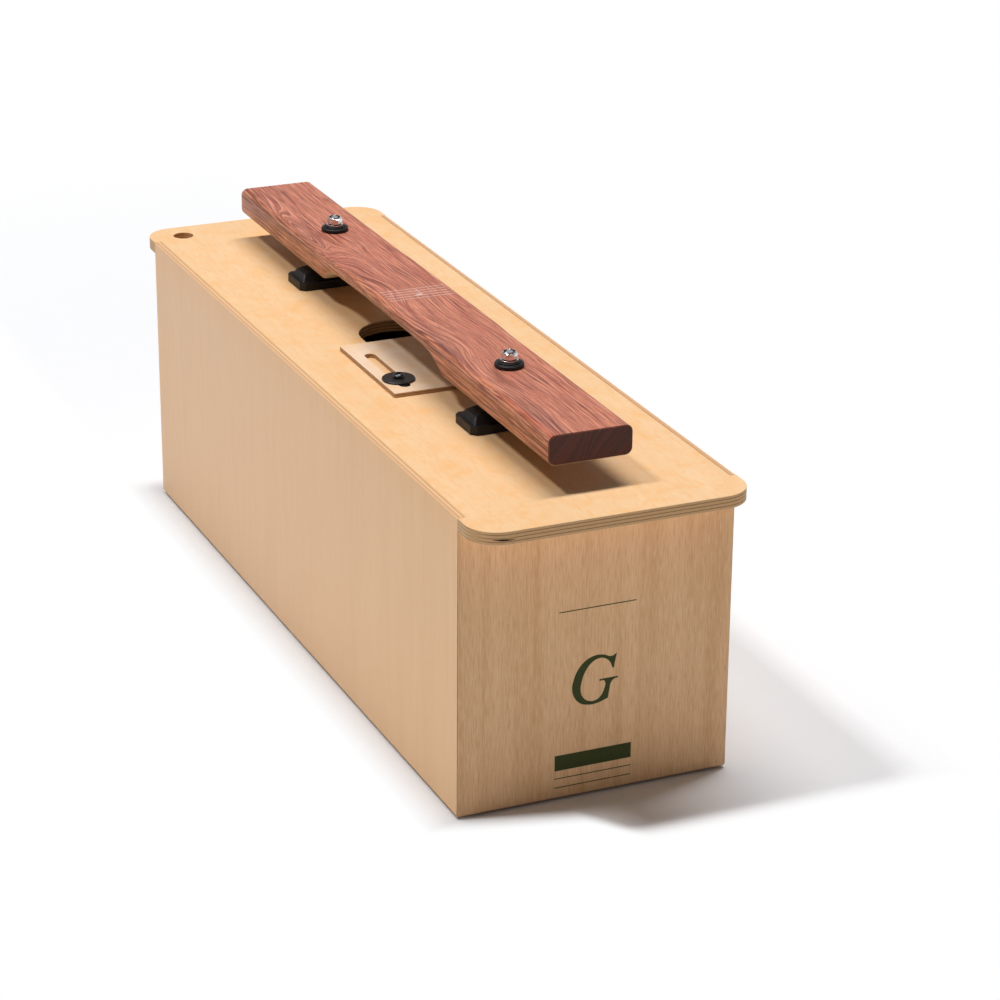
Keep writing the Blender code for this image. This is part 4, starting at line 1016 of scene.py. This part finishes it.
def add_camera(stage):
    """The camera at the photograph's viewing angle."""
    azimuth = stage.azimuth
    elevation = stage.elevation
    back = Vector((math.sin(azimuth) * math.cos(elevation), -math.cos(azimuth) * math.cos(elevation),
                   math.sin(elevation)))
    data = bpy.data.cameras.new("camera")
    data.lens = stage.lens
    data.sensor_width = 36.0
    camera = bpy.data.objects.new("camera", data)
    facing = (-back).to_track_quat("-Z", "Y").to_matrix().to_4x4()
    camera.matrix_world = (Matrix.Translation(stage.camera_place) @ facing
                           @ Matrix.Rotation(stage.roll, 4, "Z"))
    bpy.context.scene.collection.objects.link(camera)
    bpy.context.scene.camera = camera


# Operators


class CONTRABASS_OT_stage(bpy.types.Operator):
    """Make the floor, the walls, the lamps, the surroundings and the camera"""

    bl_idname = "contrabass.stage"
    bl_label = "Set the stage"

    def execute(self, context):
        stage = context.scene.contrabass_stage
        add_floor()
        add_studio_walls()
        add_area("strip_lamp", stage.strip_power, "ELLIPSE", (0.9, 6.2), (-0.10, 0.085, 1.0), 8.0)
        add_area("side_lamp", stage.side_power, "RECTANGLE", (0.8, 0.8), (-0.10, -0.50, 1.0), 8.0)
        add_world(stage.ambient)
        context.scene.view_settings.view_transform = "Standard"
        add_camera(stage)
        return {"FINISHED"}


class CONTRABASS_OT_woods(bpy.types.Operator):
    """Finish the wooden pieces"""

    bl_idname = "contrabass.woods"
    bl_label = "Finish the woods"

    def execute(self, context):
        woods = context.scene.contrabass_woods
        groups = shared_groups()
        coat("side_veneer", side_veneer(groups, woods))
        coat("end_veneer", end_veneer(groups, woods))
        coat("top_plywood", plywood(
            "top_plywood_look", groups, "top_plate", tuple(woods.top_colour), tuple(woods.top_colour),
            (7.0, 90.0, 90.0), (0.16, 0.14, 0.16), 4.0, core_gap_shade, panel_joint))
        coat("tuning_plywood", plywood(
            "tuning_plywood_look", groups, "tuning_plate", tuple(woods.tuning_colour),
            tuple(woods.core_colour), (60.0, 9.0, 60.0), (0.25, 0.25, 0.20), 2.0))
        coat("bottom_plywood", plywood(
            "bottom_plywood_look", groups, "bottom_panel", tuple(woods.core_colour),
            tuple(woods.core_colour), (5.0, 60.0, 60.0), (0.35, 0.40, 0.30), 3.0))
        coat("softwood", softwood(groups))
        coat("rosewood", rosewood(groups, woods))
        return {"FINISHED"}


class CONTRABASS_OT_hardware(bpy.types.Operator):
    """Finish the rubber, plastic, metal and felt pieces"""

    bl_idname = "contrabass.hardware"
    bl_label = "Finish the hardware"

    def execute(self, context):
        hardware = context.scene.contrabass_hardware
        groups = shared_groups()
        rubber = tuple(hardware.rubber_colour)
        plastic = tuple(hardware.plastic_colour)
        coat("black_rubber", moulded_black("black_rubber_look", groups, rubber, 0.50, 260.0))
        coat("black_plastic", moulded_black("black_plastic_look", groups, plastic, 0.34, 180.0))
        coat("black_steel", plated_metal("black_steel_look", groups, (0.09, 0.09, 0.095), 0.28))
        coat("zinc_steel", plated_metal("zinc_steel_look", groups, tuple(hardware.zinc_colour), 0.13))
        coat("grey_felt", grey_felt(groups))
        return {"FINISHED"}


class CONTRABASS_OT_front_marks(bpy.types.Operator):
    """Print the pitch letter, the plain band and the rules on the front"""

    bl_idname = "contrabass.front_marks"
    bl_label = "Print the front marks"

    def execute(self, context):
        marks = context.scene.contrabass_marks
        ink = print_ink(shared_groups(), tuple(marks.print_colour))
        letter = letter_curve("pitch_letter", marks.letter_height)
        link_mark("pitch_letter", letter, front_face_matrix(0.0, marks.letter_middle), ink,
                  "resonator")
        rules = (
            ("upper_rule", 0.0010, 0.1369, 0.0556, 0.0006),
            ("band", -0.0006, 0.0274, 0.0560, 0.0112),
            ("lower_rule", -0.0006, 0.0160, 0.0562, 0.0006),
            ("lowest_rule", -0.0006, 0.0093, 0.0562, 0.0006),
        )
        for name, across, up, width, height in rules:
            link_mark(name, flat_shape(name, rectangle(width, height)), front_face_matrix(across, up),
                      ink, "resonator")
        return {"FINISHED"}


class CONTRABASS_OT_bar_marks(bpy.types.Operator):
    """Engrave the staff and its note on the bar"""

    bl_idname = "contrabass.bar_marks"
    bl_label = "Engrave the bar"

    def execute(self, context):
        marks = context.scene.contrabass_marks
        material = engraving(shared_groups(), tuple(marks.engraving_colour))
        shapes = []
        for line in range(5):
            along = (line - 2) * marks.staff_spacing + marks.staff_middle
            shapes.append((f"staff_line_{line + 1}", rectangle(marks.staff_width, 0.0007), along, 0.0008))
        shapes.append(("note_head", ellipse(0.0062, 0.0040, 20.0), 0.0022, 0.0010))
        shapes.append(("note_stem", rectangle(0.0006, 0.0118), -0.0056, 0.0037))
        for name, outline, along, across in shapes:
            link_mark(name, flat_shape(name, outline), bar_top_matrix(along, across), material,
                      "resonator")
        return {"FINISHED"}


STEPS = (
    CONTRABASS_OT_stage,
    CONTRABASS_OT_woods,
    CONTRABASS_OT_hardware,
    CONTRABASS_OT_front_marks,
    CONTRABASS_OT_bar_marks,
)
SETTINGS = {
    "contrabass_woods": WoodSettings,
    "contrabass_hardware": HardwareSettings,
    "contrabass_marks": MarkSettings,
    "contrabass_stage": StageSettings,
}


class CONTRABASS_PT_panel(bpy.types.Panel):
    """Lists the steps that dress the contrabass bar"""

    bl_idname = "CONTRABASS_PT_panel"
    bl_label = "Contrabass Bar"
    bl_space_type = "VIEW_3D"
    bl_region_type = "UI"
    bl_category = "Contrabass Bar"

    def draw(self, context):
        for operator in STEPS:
            self.layout.operator(operator.bl_idname)


def register():
    """Register the settings, the operators and the panel."""
    for kind in (*SETTINGS.values(), *STEPS, CONTRABASS_PT_panel):
        bpy.utils.register_class(kind)
    for name, kind in SETTINGS.items():
        setattr(bpy.types.Scene, name, bpy.props.PointerProperty(type=kind))


def unregister():
    """Take the settings, the operators and the panel away again."""
    for name in SETTINGS:
        delattr(bpy.types.Scene, name)
    for kind in (CONTRABASS_PT_panel, *reversed(STEPS), *SETTINGS.values()):
        bpy.utils.unregister_class(kind)


def main():
    register()
    bpy.ops.contrabass.stage()
    bpy.ops.contrabass.woods()
    bpy.ops.contrabass.hardware()
    bpy.ops.contrabass.front_marks()
    bpy.ops.contrabass.bar_marks()
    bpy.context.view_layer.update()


if __name__ == "__main__":
    main()
